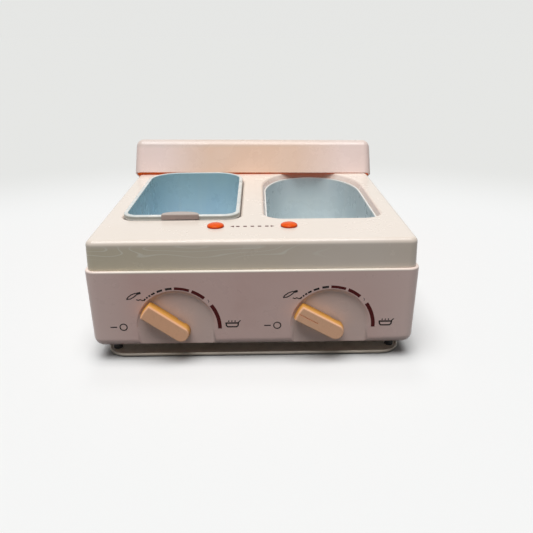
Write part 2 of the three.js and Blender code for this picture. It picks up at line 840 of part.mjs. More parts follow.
// Support: a bent strap that carries a well's floor on the bottom plate
function wellSupport(x) {
  const low = plateTop + seatGap;
  const high = wellFloor - wellWall - seatGap;
  const inner = supportSpan / 2 - supportThickness;
  const outer = supportSpan / 2 + supportFoot;
  const strap = new THREE.Shape([
    new THREE.Vector2(-outer, low),
    new THREE.Vector2(-inner, low),
    new THREE.Vector2(-inner, high - supportThickness),
    new THREE.Vector2(inner, high - supportThickness),
    new THREE.Vector2(inner, low),
    new THREE.Vector2(outer, low),
    new THREE.Vector2(outer, low + supportThickness),
    new THREE.Vector2(supportSpan / 2, low + supportThickness),
    new THREE.Vector2(supportSpan / 2, high),
    new THREE.Vector2(-supportSpan / 2, high),
    new THREE.Vector2(-supportSpan / 2, low + supportThickness),
    new THREE.Vector2(-outer, low + supportThickness),
  ]);
  return new THREE.ExtrudeGeometry(strap, { depth: supportWidth, bevelEnabled: false })
    .rotateX(quarter)
    .translate(x, supportY + supportWidth / 2, 0);
}

// Mains inlet in the back wall, open to the back, with three pins
function mainsInlet() {
  const face = housingDepth + inletFlangeThickness + seatGap - lowerLean(inletHeight + inletTall);
  const seat = face - inletFlangeThickness;
  const frame = (margin, y0, y1) => toSolid(block(
    inletX - inletWidth / 2 - margin, inletX + inletWidth / 2 + margin, y0, y1,
    inletHeight - inletTall / 2 - margin, inletHeight + inletTall / 2 + margin));
  const body = join(frame(0, face - inletLength, face), frame(inletFlange, seat, face));
  const socket = frame(-inletWall, face - inletSocket, face + overrun);
  const pins = [-1, 0, 1].map((place) => toSolid(block(
    inletX + place * pinPitch - pinThickness / 2, inletX + place * pinPitch + pinThickness / 2,
    face - inletSocket - overrun, face - inletSocket + pinLength,
    inletHeight - pinWidth / 2, inletHeight + pinWidth / 2)));
  return toGeometry(join(cut(body, socket), ...pins));
}

function terminalBlock() {
  const bottom = plateTop + seatGap;
  const body = toSolid(block(
    blockX - blockWidth / 2, blockX + blockWidth / 2, blockY - blockDepth / 2, blockY + blockDepth / 2,
    bottom, bottom + blockHeight));
  const ways = [-1, 0, 1].map((place) => toSolid(post(
    screwRadius, bottom + blockHeight / 2, bottom + blockHeight + overrun,
    blockX + place * blockPitch, blockY, smallSides)));
  return toGeometry(cut(body, ...ways));
}

// Lid, drawn upright with its front rim on the x axis
const lidHalf = half - ledgeWidth + lidSideClearance + lidWall;
const lidDepth = housingDepth - 2 * ledgeWidth + 2 * (lidEndClearance + lidWall);
const lidCorner = housingCorner - ledgeWidth + lidEndClearance + lidWall;

function lid() {
  const outline = rectangle({
    left: -lidHalf, right: lidHalf, front: 0, back: lidDepth, corner: lidCorner,
  });
  const lean = (z) => Math.max(z, 0) * Math.tan(lidDraft);
  const outside = toSolid(loft(outline, wallStations({
    bottom: 0, top: lidHeight, topRadius: lidEdge, lean,
  })));
  const inside = toSolid(loft(outline, wallStations({
    bottom: -overrun, top: lidHeight - lidWall, topRadius: lidEdge - lidWall, inset: lidWall, lean,
  })));
  return toGeometry(cut(outside, inside));
}

// The lid leans back until its low back corner reaches the table. Its front rim lies on the deck
// at the right, and it is rolled about its own length so that its left side stands higher.
function placeLid(mesh) {
  const contactX = half - ledgeWidth - coverEdge;
  const overhang = (lidHalf - contactX) * Math.sin(lidRoll);
  const length = lidDepth - lidWall;
  const lean = Math.asin(deckTop / Math.hypot(length, overhang)) - Math.atan2(overhang, length);
  mesh.position.set(-contactX, -lidWall, 0);
  const roll = new THREE.Group();
  roll.rotation.y = lidRoll;
  roll.add(mesh);
  const tilt = new THREE.Group();
  tilt.rotation.x = -lean;
  tilt.position.set(contactX, lidFront + lidWall, deckTop + seatGap);
  tilt.add(roll);
  model.add(tilt);
}

// Assembly
add("upper_housing", "pink", upperHousing());
add("lower_housing", "lowerPink", lowerHousing());
add("bottom_plate", "steel", bottomPlate());
add("base_pan", "lowerPink", basePan());

for (const { side, sign } of sides) {
  for (const { end, spacerY, postY } of ends) {
    const padY = end === "front" ? panFront + padInset : panBack - padInset;
    add(`spacer_${end}_${side}`, "black", post(
      spacerRadius, panBottom + panFloor + seatGap, housingBottom - seatGap, sign * spacerX, spacerY));
    add(`pad_${end}_${side}`, "black", post(padRadius, 0, panBottom - seatGap, sign * padX, padY));
    add(`tie_screw_${end}_${side}`, "steel", screw(sign * postX, postY, housingBottom, tieScrewLength));
  }
}

for (const { name, x, y } of plateScrewPlaces) {
  add(name, "steel", screw(x, y, plateBottom, plateScrewLength));
}

for (const { side, sign } of sides) {
  const outline = wellOutlines[side];
  const x = sign * wellCentre;
  add(`${side}_well`, side === "left" ? "steel" : "pot", well(outline));
  add(`${side}_heater_band`, "heater", sleeve(outline, seatGap, heaterThickness, heaterBottom, heaterTop));
  add(`${side}_insulation`, "wool", sleeve(
    outline, seatGap * 2 + heaterThickness, insulationThickness, insulationBottom, insulationTop));
  add(`${side}_well_support`, "steel", wellSupport(x));
  add(`${side}_sensor_bulb`, "brass", sensorBulb(dialX[side]));
  add(`${side}_capillary`, "brass", capillary(dialX[side]));
  add(`${side}_thermostat`, "cream", thermostat(dialX[side]));
  add(`${side}_thermostat_nut`, "brass", nut(dialX[side]));
  add(`${side}_shaft`, "steel", shaft(dialX[side]));
  const bar = add(`${side}_knob`, "knob", knob(knobAngles[side], side === "right"));
  bar.position.set(dialX[side], dialFloor, dialHeight);
  add(`${side}_lamp_lens`, "lamp", lampLens((sign * lampSpacing) / 2));
  add(`${side}_lamp_holder`, "cream", lampHolder((sign * lampSpacing) / 2));
}

add("mains_inlet", "black", mainsInlet());
add("terminal_block", "cream", terminalBlock());
add("wax_tank", "tank", waxTank());
add("tank_grip", "grip", tankGrip());
placeLid(add("lid", "lidPink", lid()));

// The origin is at the bottom centre of the whole object's box.
model.updateMatrixWorld(true);
const extent = new THREE.Box3().setFromObject(model, true);
const centre = extent.getCenter(new THREE.Vector3());
model.position.set(-centre.x, -centre.y, -extent.min.z);

export default model;
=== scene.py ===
"""Looks of a wax heater: a housing with a lift-out tank, an oval pot, two dials and a loose lid.

Shapes are drawn in millimetres from the front of the lower housing and from the table, and
placed in the frame's metres when a piece is finished.
"""

import json
from math import asin, atan2, cos, hypot, pi, radians, sin, tan

import bpy
from mathutils import Matrix, Vector


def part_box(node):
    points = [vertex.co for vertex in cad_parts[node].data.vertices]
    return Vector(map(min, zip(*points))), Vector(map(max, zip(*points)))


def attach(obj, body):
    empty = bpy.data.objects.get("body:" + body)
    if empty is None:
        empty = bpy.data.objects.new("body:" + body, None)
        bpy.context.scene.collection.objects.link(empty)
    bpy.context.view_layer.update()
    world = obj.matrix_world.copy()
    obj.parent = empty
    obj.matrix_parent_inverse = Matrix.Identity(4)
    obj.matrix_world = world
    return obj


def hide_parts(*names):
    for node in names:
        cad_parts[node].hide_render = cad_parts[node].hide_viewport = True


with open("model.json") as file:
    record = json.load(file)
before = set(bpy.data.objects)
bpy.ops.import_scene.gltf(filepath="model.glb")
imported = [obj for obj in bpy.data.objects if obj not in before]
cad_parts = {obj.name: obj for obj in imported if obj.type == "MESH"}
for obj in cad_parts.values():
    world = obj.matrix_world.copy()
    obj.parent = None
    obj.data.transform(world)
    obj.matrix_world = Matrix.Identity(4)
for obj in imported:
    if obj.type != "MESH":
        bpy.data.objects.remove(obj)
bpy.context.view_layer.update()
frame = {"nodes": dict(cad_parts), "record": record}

# Housing
housing_width = 333
housing_depth = 325
deck_top = 131
ledge_top = 100.5
housing_bottom = 16
ledge_width = 3
housing_corner = 12
housing_wall = 2.6
cover_wall = 2.5
cover_edge = 5.6
bottom_edge = 10
ledge_edge = 1.8
fine_edge = 0.4
seat_gap = 0.3
overrun = 2
draft = radians(1.3)
shelf = 5
plate_inset = 22
plate_thickness = 1.5
post_x = 151.5
post_radius = 4
post_places = (46, 279)
screw_hole = 2.1
half_width = housing_width / 2
collar_bottom = deck_top - 7

# Wells
well_centre = 77.5
well_width = 125.2
tank_well_front = 75.8
tank_well_back = 290.25
tank_well_corner = 16
tank_well_back_corner = 39
oval_well_front = 78.5
oval_well_back = 307
oval_well_corner = 20
oval_well_bulge = 85
collar_spread = 5.5
collar_lip = 4
collar_wall = 2.2
collar_start = radians(30)
well_floor = 48
well_wall = 1.5
well_rim = 1.5
well_flange = 6
well_floor_edge = 9
well_inner = well_centre - well_width / 2
well_outer = well_centre + well_width / 2

# Lift-out tank and its grip
tank_top = deck_top + 4.3
tank_rim = 4.7
tank_rim_margin = 0.95
tank_rim_skirt = 5.3
tank_rim_wall = 1.4
tank_wall = 1.5
tank_floor_edge = 8
tank_corner = 17
tank_back_corner = 40
grip_width = 40
grip_reach = 9
grip_thickness = 1.8
grip_face = 1.6
grip_clearance = 0.35
grip_left = -well_centre - grip_width / 2
grip_right = grip_width / 2 - well_centre
rim_front = tank_well_front - tank_rim_margin
tank_floor = well_floor + seat_gap

# Dials and knobs
dial_x = 78
dial_height = 38.1
dial_radius = 40.5
dial_depth = 3
dial_bevel = 4.4
dial_backing = 2.5
bush_radius = 4.8
knob_angles = {"left": radians(36), "right": radians(29.5)}
knob_lift = 0.9
knob_height = 12
knob_half_width = 9
knob_reach = 38.5
knob_foot = 35.4
knob_tail = 15
knob_taper = 0.9
knob_bevel = 1.4
knob_shoulder = 4
knob_pocket = 8
knob_pocket_depth = 2.9
knob_relief = 9
knob_relief_height = 1.7
index_width = 1.1
index_depth = 0.9
index_inner = 15
shaft_radius = 3
shaft_grip = 5.4

# Printed marks, with each bar of a dial as its first angle, last angle and thickness
mark_radius = 44
mark_bars = ((-1.5, 35, 3.9), (48.5, 67, 3.4), (70.5, 90, 2.8))
mark_dashes = (
    (93, 101.7, 2.3), (105.6, 113.2, 2.1), (116.2, 121.4, 1.9),
    (122.9, 125.8, 1.8), (127.3, 129.8, 1.7), (131.2, 134.6, 1.6))
mark_lift = 0.02
mark_share = 0.04
ring_place = (-53.7, 1.6)
ring_radius = 3.6
sign_line = 1.1
ring_line = 1.2
pot_line = 1.5
pot_rim_line = 1.6
tick_line = 0.6
handle_line = 2.4
row_line = 3.2
arrow_tip = 23
arrow_base = 19
arrow_width = 5
arrow_point = 0.1
row_places = (-15, -7.5, 0, 7.5, 15)
row_dash = 3.6

# Lamps
lamp_x = 38
lamp_y = 47.5
lamp_radius = 8.75
lamp_skirt = 0.9
lamp_dome = 2.7
lamp_stem = 5.6

# Lid
lid_side_clearance = 3.2
lid_end_clearance = 0.4
lid_wall = 1.8
lid_height = 50
lid_edge = 11
lid_draft = radians(1.8)
lid_roll = radians(0.65)
lid_front = 293.5

# Base pan, spacers, pads and screws
pan_half_width = 155.5
pan_front = 9.5
pan_back = 315.5
pan_corner = 22
pan_bottom = 0.8
pan_rim_top = 4.3
pan_floor = 1.6
pan_rim_wall = 2.2
pan_edge = 1.8
spacer_x = 146
spacer_places = (28, 297)
spacer_radius = 4.5
spacer_groove = 0.7
spacer_groove_share = 0.15
spacer_flat_share = 0.08
pad_x = 132
pad_radius = 8
pad_inset = 24
screw_radius = 1.7
screw_head = 3.4
screw_head_height = 2.2
screw_cross = 1.9
screw_cross_width = 0.8
screw_cross_depth = 1.2
turn_seed = 7
tie_screw_length = 46
plate_screw_length = 9
plate_screw_x = half_width - 48.5
plate_screw_places = (plate_inset + 3, housing_depth - plate_inset - 3)

# Mains inlet
inlet_x = -96
inlet_height = 62
inlet_width = 27
inlet_tall = 20
inlet_corner = 2.5
inlet_flange = 4
inlet_flange_thickness = 2
inlet_length = 24
inlet_wall = 2
inlet_socket = 15
pin_length = 9
pin_width = 4
pin_thickness = 2
pin_pitch = 7

# Camera, lights and stage
focal_length = 40.09
camera_place = (0.00567, -0.83947, 0.31509)
camera_turn = (radians(68.717), radians(0.326), radians(-0.98))
floor_size = 400
sweep_middle = (0, -0.45, 0)
sweep_start = 0.77
sweep_end = 1.25
near_floor = (0.885, 0.89, 0.885, 1)
far_floor = (0.766, 0.771, 0.755, 1)
dim_floor = (0.1, 0.1, 0.1, 1)
backdrop = (0.79, 0.795, 0.78, 1)
room_light = (0.1, 0.1, 0.1, 1)
contact_reach = 0.025
contact_share = 0.22
contact_samples = 8

# Bands of colour: an axis, the places in metres where a band starts and where it is full, its share
# The tint towards one side is yellowing together with a painted reflection of the surroundings.
yellowing_reflection_side = ("X", 0.08, -0.16, 0.7, 0.1)
skirt_heights = ("Z", 0.1275, 0.122)
deck_front = ("Y", -0.245, -0.23)
deck_back = ("Y", 0.018, 0.014)
deck_top_light_heights = ("Z", 0.1302, 0.1309, 0.6)
collar_light_heights = ("Z", 0.1306, 0.129)
reflection_line_side = ("X", 0.09, 0.03)
reflection_line_heights = ("Z", 0.111, 0.116)
lid_glow_depths = ("Y", -0.012, 0.003, 0.75)
lid_glow_heights = ("Z", 0.1306, 0.1296)
ledge_highlight_heights = ("Z", 0.0983, 0.099)
lid_top_highlight_heights = ("Z", 0.166, 0.174, 0.7)
knob_lit_side_depths = ("Y", -0.3058, -0.3035)
knob_foot_shade_depths = ("Y", -0.3025, -0.2985, 0.8)
tank_heights = ("Z", 0.085, 0.133, 0.7)
rim_shade_low_heights = ("Z", 0.1309, 0.1316)
rim_shade_high_heights = ("Z", 0.1343, 0.1336)
pot_rim_highlight_heights = ("Z", 0.1215, 0.1228)
grip_top_light_heights = ("Z", 0.1355, 0.1365, 0.85)
lens_heights = ("Z", 0.1334, 0.1318)
recess_reach = 0.004
recess_shade_share = 0.25

# Bands of colour on both sides of a middle, as distances from it, and their share
deck_flanks = (0.155, 0.15)
dial_shade_flanks = (0.124, 0.121)
housing_light_flanks = (0.115, 0.165, 0.7)
lid_light_flanks = (0.06, 0.13, 0.85)
pot_shade_flanks = (0.03, 0.056, 0.6)

# Smoothness of the outlines
quarter = pi / 2
corner_steps = 18
edge_steps = 9
oval_steps = 64
arch_steps = 72
round_steps = 64
mark_steps = 16
sharp_corner_share = 0.17
crease = radians(38)

millimetre = 0.001
housing_low, housing_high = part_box("lower_housing")
front_middle = ((housing_low.x + housing_high.x) / 2, housing_low.y, 0)
place = Matrix.Translation(front_middle) @ Matrix.Scale(millimetre, 4)
sides = (("left", -1), ("right", 1))
ends = ("front", "back")
scene = bpy.context.scene


def added(name, data):
    thing = bpy.data.objects.new(name, data)
    scene.collection.objects.link(thing)
    return thing


# Outlines are closed, convex and counterclockwise, and an inset draws them in on every side.
def arc(x, y, radius_x, radius_y, start, sweep, steps):
    angles = [start + sweep * i / steps for i in range(steps + 1)]
    return [(x + radius_x * cos(a), y + radius_y * sin(a)) for a in angles]


def rectangle(left, right, front, back, corner, back_corner=None):
    def ring(inset):
        r = max(corner - inset, corner * sharp_corner_share)
        rear = back_corner or corner
        q = max(rear - inset, rear * sharp_corner_share)
        west, east = left + inset, right - inset
        low, high = front + inset + r, back - inset - q
        return [
            *arc(east - r, low, r, r, -quarter, quarter, corner_steps),
            *arc(east - q, high, q, q, 0, quarter, corner_steps),
            *arc(west + q, high, q, q, quarter, quarter, corner_steps),
            *arc(west + r, low, r, r, pi, quarter, corner_steps),
        ]
    return ring


def oval_ended(left, right, front, back, corner, bulge):
    def ring(inset):
        r = max(corner - inset, corner * sharp_corner_share)
        middle = (left + right) / 2
        half = (right - left) / 2 - inset
        return [
            *arc(right - inset - r, front + inset + r, r, r, -quarter, quarter, corner_steps),
            *arc(middle, back - bulge, half, bulge - inset, 0, pi, oval_steps),
            *arc(left + inset + r, front + inset + r, r, r, pi, quarter, corner_steps),
        ]
    return ring


def arch(radius, below):
    def ring(inset):
        r = radius - inset
        return [(-r, -below), (r, -below), *arc(0, 0, r, r, 0, pi, arch_steps)]
    return ring


def disc(radius, x=0, y=0):
    return lambda inset: arc(x, y, radius - inset, radius - inset, 0, 2 * pi, round_steps)[1:]


# Solids
def solid(points, faces):
    mesh = bpy.data.meshes.new("solid")
    mesh.from_pydata(points, [], faces)
    return added("solid", mesh)


def loft(outline, stations):
    """A solid through the rings that an outline makes at each station, an (inset, height) pair."""
    rings = [[(x, y, z) for x, y in outline(inset)] for inset, z in stations]
    count = len(rings[0])
    faces = []
    for start in range(0, count * (len(rings) - 1), count):
        for i in range(count):
            following = (i + 1) % count
            faces.append((start + i, start + following, start + count + following, start + count + i))
    faces.append(tuple(reversed(range(count))))
    faces.append(tuple(range(count * (len(rings) - 1), count * len(rings))))
    return solid([point for ring in rings for point in ring], faces)


def block(x0, x1, y0, y1, z0, z1):
    corners = [(x0, y0), (x1, y0), (x1, y1), (x0, y1)]
    return loft(lambda inset: corners, [(0, z0), (0, z1)])


def rods(radius, x, places, low, high):
    """Upright rods on both sides."""
    return [loft(disc(radius, sign * x, y), [(0, low), (0, high)]) for _, sign in sides for y in places]


def turned(profile):
    """A round solid from (radius, height) pairs, from the bottom up."""
    return loft(disc(0), [(-radius, z) for radius, z in profile])


def turns(start=0):
    return [start + (quarter - start) * i / edge_steps for i in range(edge_steps + 1)]


def rounded(inset, reach, top, rise, start=0):
    """Stations of an edge that bends inwards by a reach while it rises to the top."""
    return [(inset + reach * (1 - cos(a)), top - rise * (1 - sin(a))) for a in turns(start)]


def wall(bottom, top, bottom_radius=0, top_radius=0, inset=0, lean=lambda z: 0):
    """Stations of a wall from bottom to top, with rounded edges and a lean that depends on height."""
    low = [(bottom_radius * (1 - sin(a)), bottom + bottom_radius * (1 - cos(a))) for a in turns()]
    high = rounded(0, top_radius, top, top_radius)
    stations = (low if bottom_radius else [(0, bottom)]) + (high if top_radius else [(0, top)])
    return [(edge + inset + lean(z), z) for edge, z in stations]


def settle(shape):
    """Applies the modifiers of a shape."""
    evaluated = shape.evaluated_get(bpy.context.evaluated_depsgraph_get())
    mesh = bpy.data.meshes.new_from_object(evaluated)
    shape.modifiers.clear()
    shape.data = mesh
    return shape


def combine(shape, operation, others):
    for other in others:
        step = shape.modifiers.new("combine", "BOOLEAN")
        step.operation = operation
        step.solver = "MANIFOLD"
        step.object = other
    settle(shape)
    for other in others:
        bpy.data.objects.remove(other)
    return shape


def join(shape, *others):
    return combine(shape, "UNION", others)


def cut(shape, *others):
    return combine(shape, "DIFFERENCE", others)


def moved(shape, matrix):
    shape.data.transform(matrix)
    return shape


def upright(shape, x, y, z):
    """Stands a shape that was drawn lying on its back."""
    return moved(shape, Matrix.Translation((x, y, z)) @ Matrix.Rotation(quarter, 4, "X"))


def painted(shape, *materials):
    shape.data.materials.clear()
    for material in materials:
        shape.data.materials.append(material)
    return shape


def lined(shape, middle):
    """Gives the second material to the faces that look towards the middle."""
    for face in shape.data.polygons:
        face.material_index = int(face.normal.dot(middle - face.center) > 0)
    return shape


def finished(name, shape, body, slot=None, *nodes):
    """Places a shape in the frame and hands it over as a piece that stands for some CAD nodes."""
    moved(shape, place)
    shape.name = name
    shape.data.name = name
    shape.data.shade_smooth()
    shape.data.set_sharp_from_angle(angle=crease)
    step = shape.modifiers.new("even shading", "WEIGHTED_NORMAL")
    step.keep_sharp = True
    settle(shape)
    if nodes:
        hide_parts(*nodes)
    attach(shape, body)


# Node trees
def put(tree, kind, inputs=None, **settings):
    """Adds a node, with its settings, and its inputs by name as values or as sockets to link."""
    node = tree.nodes.new(kind)
    for name, value in settings.items():
        setattr(node, name, value)
    for name, value in (inputs or {}).items():
        if isinstance(value, bpy.types.NodeSocket):
            tree.links.new(value, node.inputs[name])
        else:
            node.inputs[name].default_value = value
    return node


def new_tree(name, **inputs):
    """A tree of Geometry Nodes with named inputs, and the sockets that give them."""
    tree = bpy.data.node_groups.new(name, "GeometryNodeTree")
    for title, kind in {"geometry": "Geometry", **inputs}.items():
        tree.interface.new_socket(title, in_out="INPUT", socket_type=f"NodeSocket{kind}")
    tree.interface.new_socket("geometry", in_out="OUTPUT", socket_type="NodeSocketGeometry")
    return tree, put(tree, "NodeGroupInput").outputs


def end_tree(tree, geometry, material):
    real = put(tree, "GeometryNodeRealizeInstances", {"Geometry": geometry}).outputs["Geometry"]
    coated = put(tree, "GeometryNodeSetMaterial", {"Geometry": real, "Material": material})
    put(tree, "NodeGroupOutput", {"geometry": coated.outputs["Geometry"]})
    return tree


def grown(start, tree, **values):
    """What a tree makes of a starting mesh, as a plain mesh."""
    step = start.modifiers.new(tree.name, "NODES")
    step.node_group = tree
    for item in tree.interface.items_tree:
        if item.in_out == "INPUT" and item.name in values:
            step[item.identifier] = values[item.name]
    return settle(start)


def stroke_tree():
    """Turns edges that lie flat into flat ribbons, as wide as their points' width attribute says."""
    tree, given = new_tree("printed strokes", share="Float", material="Material")
    width = put(tree, "GeometryNodeInputNamedAttribute", {"Name": "width"}, data_type="FLOAT")
    line = put(tree, "GeometryNodeMeshToCurve", {"Mesh": given["geometry"]}).outputs["Curve"]
    level = put(tree, "GeometryNodeSetCurveNormal", {"Curve": line}, mode="Z_UP").outputs["Curve"]
    section = put(tree, "GeometryNodeCurvePrimitiveQuadrilateral", {"Width": 1.0, "Height": given["share"]})
    ribbon = put(tree, "GeometryNodeCurveToMesh", {
        "Curve": level, "Profile Curve": section.outputs["Curve"],
        "Scale": width.outputs["Attribute"], "Fill Caps": True})
    return end_tree(tree, ribbon.outputs["Mesh"], given["material"])


def repeat_tree():
    """Stands a part on every point, each turned by its own angle."""
    tree, given = new_tree("repeated part", part="Object", turn="Float", material="Material")
    part = put(tree, "GeometryNodeObjectInfo", {"Object": given["part"]}).outputs["Geometry"]
    most = put(tree, "ShaderNodeCombineXYZ", {"Z": given["turn"]}).outputs["Vector"]
    angle = put(tree, "FunctionNodeRandomValue", {1: most, "Seed": turn_seed}, data_type="FLOAT_VECTOR")
    copies = put(tree, "GeometryNodeInstanceOnPoints", {
        "Points": given["geometry"], "Instance": part, "Rotation": angle.outputs[0]})
    return end_tree(tree, copies.outputs["Instances"], given["material"])


def repeated(part, places, material, turn=0.0):
    shape = grown(solid(places, []), repeat_tree(), part=part, turn=turn, material=material)
    bpy.data.objects.remove(part)
    return shape


# Outlines that several pieces share
cover_outline = rectangle(
    ledge_width - half_width, half_width - ledge_width,
    ledge_width, housing_depth - ledge_width, housing_corner - ledge_width)
housing_outline = rectangle(-half_width, half_width, 0, housing_depth, housing_corner)
well_outlines = {
    "left": rectangle(
        -well_outer, -well_inner, tank_well_front, tank_well_back, tank_well_corner, tank_well_back_corner),
    "right": oval_ended(
        well_inner, well_outer, oval_well_front, oval_well_back, oval_well_corner, oval_well_bulge),
}
tank_outline = rectangle(
    -well_outer - tank_rim_margin, tank_rim_margin - well_inner,
    rim_front, tank_well_back + tank_rim_margin, tank_corner, tank_back_corner)


def lower_lean(z):
    return (ledge_top - z) * tan(draft)


def cover_lean(z):
    return max(z - ledge_top, 0) * tan(draft)


dial_floor = lower_lean(dial_height) + dial_depth
dial_back = dial_floor + dial_backing
shelf_top = housing_bottom + shelf


# Upper housing
def cover_mouth(outline):
    return loft(outline, [
        (0, collar_bottom - overrun),
        (0, collar_bottom),
        *rounded(collar_lip - collar_spread, -collar_lip, deck_top, collar_lip, collar_start),
        (-collar_spread, deck_top + overrun),
    ])


def make_cover(material):
    bottom = ledge_top + seat_gap
    outside = loft(cover_outline, wall(bottom, deck_top, 0, cover_edge, lean=cover_lean))
    inside = loft(cover_outline, wall(
        bottom - overrun, deck_top - cover_wall, 0, cover_edge - cover_wall, cover_wall, cover_lean))
    collars = [loft(outline, [
        (-collar_wall, collar_bottom),
        (collar_lip / 2 - collar_wall - collar_spread, deck_top - cover_wall / 2),
    ]) for outline in well_outlines.values()]
    posts = rods(post_radius, post_x, post_places, shelf_top + seat_gap, deck_top - cover_wall / 2)
    mouths = [cover_mouth(outline) for outline in well_outlines.values()]
    lamp_holes = rods(
        lamp_stem + seat_gap, lamp_x, [lamp_y], deck_top - cover_wall - overrun, deck_top + overrun)
    screw_holes = rods(screw_hole, post_x, post_places, shelf_top - overrun, ledge_top)
    shape = cut(join(cut(outside, inside), *collars, *posts), *mouths, *lamp_holes, *screw_holes)
    finished("cover", painted(shape, material), "housing", "cover_plastic", "upper_housing")


# Lower housing
def dial_arch(sign, radius, stations):
    """An arched block at a dial, from its back to its front, with heights in front of the wall."""
    shape = loft(arch(radius, dial_height - housing_bottom + overrun), stations)
    return upright(shape, sign * dial_x, lower_lean(dial_height), dial_height)


def dial_recess(sign):
    return dial_arch(sign, dial_radius, [(dial_bevel, -dial_depth), (0, 0), (-dial_bevel, dial_depth)])


def dial_back_plate(sign):
    return dial_arch(sign, dial_radius + dial_backing, [(0, -dial_depth - dial_backing), (0, overrun)])


def bush_hole(sign):
    shape = loft(disc(bush_radius + seat_gap), [(0, -overrun), (0, dial_backing + 2 * overrun)])
    return upright(shape, sign * dial_x, dial_back + overrun, dial_height)


def inlet_hole():
    half = inlet_width / 2 + seat_gap
    tall = inlet_tall / 2 + seat_gap
    return block(
        inlet_x - half, inlet_x + half, housing_depth - inlet_length, housing_depth + overrun,
        inlet_height - tall, inlet_height + tall)


def make_lower_housing(material):
    outside = loft(housing_outline, wall(housing_bottom, ledge_top, bottom_edge, ledge_edge, lean=lower_lean))
    inside = loft(housing_outline, wall(
        shelf_top, ledge_top - housing_wall, bottom_edge - housing_wall, 0, housing_wall, lower_lean))
    ledge_inset = ledge_width + cover_wall + housing_wall
    plate_seat = housing_bottom + plate_thickness + seat_gap
    openings = [
        loft(housing_outline, [(inset, low), (inset, high)]) for inset, low, high in (
            (ledge_inset, ledge_top - housing_wall - overrun, ledge_top + overrun),
            (plate_inset + shelf, housing_bottom - overrun, shelf_top + overrun),
            (plate_inset, housing_bottom - overrun, plate_seat))]
    hollow = cut(inside, *[dial_back_plate(sign) for _, sign in sides])
    shape = cut(
        outside, hollow, *openings, inlet_hole(),
        *[dial_recess(sign) for _, sign in sides],
        *[bush_hole(sign) for _, sign in sides])
    finished("lower_shell", painted(shape, material), "housing", "housing_plastic", "lower_housing")


# Printed marks
def drawn(lines):
    """Edges that lie flat along lines of (x, y, width) points."""
    points, edges, widths = [], [], []
    for line in lines:
        first = len(points)
        points += [(x, y, 0) for x, y, _ in line]
        widths += [width for _, _, width in line]
        edges += [(first + i, first + i + 1) for i in range(len(line) - 1)]
    mesh = bpy.data.meshes.new("strokes")
    mesh.from_pydata(points, edges, [])
    mesh.attributes.new("width", "FLOAT", "POINT").data.foreach_set("value", widths)
    return added("strokes", mesh)


def curved(x, y, radius, start, end, width):
    sweep = radians(end - start)
    return [(px, py, width) for px, py in arc(x, y, radius, radius, radians(start), sweep, mark_steps)]


def stroke(width, *points):
    return [(x, y, width) for x, y in points]


def knife_sign():
    """A leaf-shaped wax knife with a thick handle, and a strand of wax below it."""
    return [
        stroke(sign_line, (-47.9, 32.8), (-46, 35.3), (-42.5, 37.9), (-38.6, 39.4), (-36.8, 39.3)),
        stroke(sign_line, (-47.9, 32.8), (-44, 33.2), (-40.5, 35.2), (-37.4, 37.9), (-36.8, 39.3)),
        stroke(handle_line, (-37, 38.9), (-33.4, 39.9)),
        stroke(sign_line, (-38.2, 32.4), (-36.2, 31.6), (-34.2, 32.4), (-32.2, 31.4), (-30.4, 31.6)),
    ]


def pot_sign():
    """A pot with three wisps of steam and a spoon."""
    return [
        stroke(pot_line, (50.3, 4.8), (50.7, 1.9), (52.2, 0.6), (61, 0.6), (62.4, 1.9), (62.8, 4.8)),
        stroke(pot_rim_line, (49.7, 4.9), (63.5, 4.9)),
        *[stroke(sign_line, (x, 6.2), (x - 0.5, 7), (x + 0.1, 7.7)) for x in (53.4, 56.6, 59.8)],
        stroke(sign_line, (62.4, 5.2), (65.1, 7.8)),
    ]


def dial_signs():
    return [
        *knife_sign(),
        *pot_sign(),
        stroke(ring_line, (-67, 1.65), (-60.3, 1.65)),
        curved(*ring_place, ring_radius, 0, 360, ring_line),
        stroke(tick_line, (32.9, 31.4), (34, 29.4), (33.2, 28.4)),
    ]


def lamp_signs():
    """An arrowhead towards each lamp, with a row of dashes between them."""
    heads = [[(sign * arrow_tip, 0, arrow_point), (sign * arrow_base, 0, arrow_width)] for _, sign in sides]
    row = [stroke(row_line, (x - row_dash / 2, 0), (x + row_dash / 2, 0)) for x in row_places]
    return heads + row


def on_front(shape, sign):
    """Stands flat marks on the leaning front wall round a dial."""
    slope = tan(draft)
    return moved(shape, Matrix((
        (1, 0, 0, sign * dial_x),
        (0, -slope, -1, lower_lean(dial_height) - mark_lift),
        (0, 1, 0, dial_height),
        (0, 0, 0, 1))))


def make_marks(bar_ink, sign_ink):
    tree = stroke_tree()

    def printed(lines, tint):
        return grown(drawn(lines), tree, share=mark_share, material=tint)

    bars = [curved(0, 0, mark_radius, *bar) for bar in mark_bars]
    dashes = [curved(0, 0, mark_radius, *dash) for dash in mark_dashes]
    for side, sign in sides:
        for kind, lines, tint in (("bars", bars, bar_ink), ("signs", dashes + dial_signs(), sign_ink)):
            finished(f"{side}_dial_{kind}", on_front(printed(lines, tint), sign), "housing")
    on_deck = Matrix.Translation((0, lamp_y, deck_top + mark_lift))
    finished("lamp_signs", moved(printed(lamp_signs(), bar_ink), on_deck), "housing")


# Wells, seen in the openings of the deck
well_top = collar_bottom - seat_gap


def well_lean(z):
    return (well_top - z) / (well_top - well_floor) * well_rim


def make_well(side, material, slot):
    outline = well_outlines[side]
    tub = loft(outline, wall(
        well_floor - well_wall, well_top, well_floor_edge + well_wall, 0, well_rim - well_wall, well_lean))
    flange = loft(outline, [(-well_flange, well_top - well_wall), (-well_flange, well_top)])
    lip = well_rim / 2
    inside = loft(outline, [
        *wall(well_floor, well_top - lip, well_floor_edge, 0, well_rim, well_lean),
        *rounded(well_rim, -lip, well_top, lip),
        (well_rim - lip, well_top + overrun),
    ])
    shape = cut(join(tub, flange), inside)
    finished(f"{side}_tub", painted(shape, material), "housing", slot, f"{side}_well")


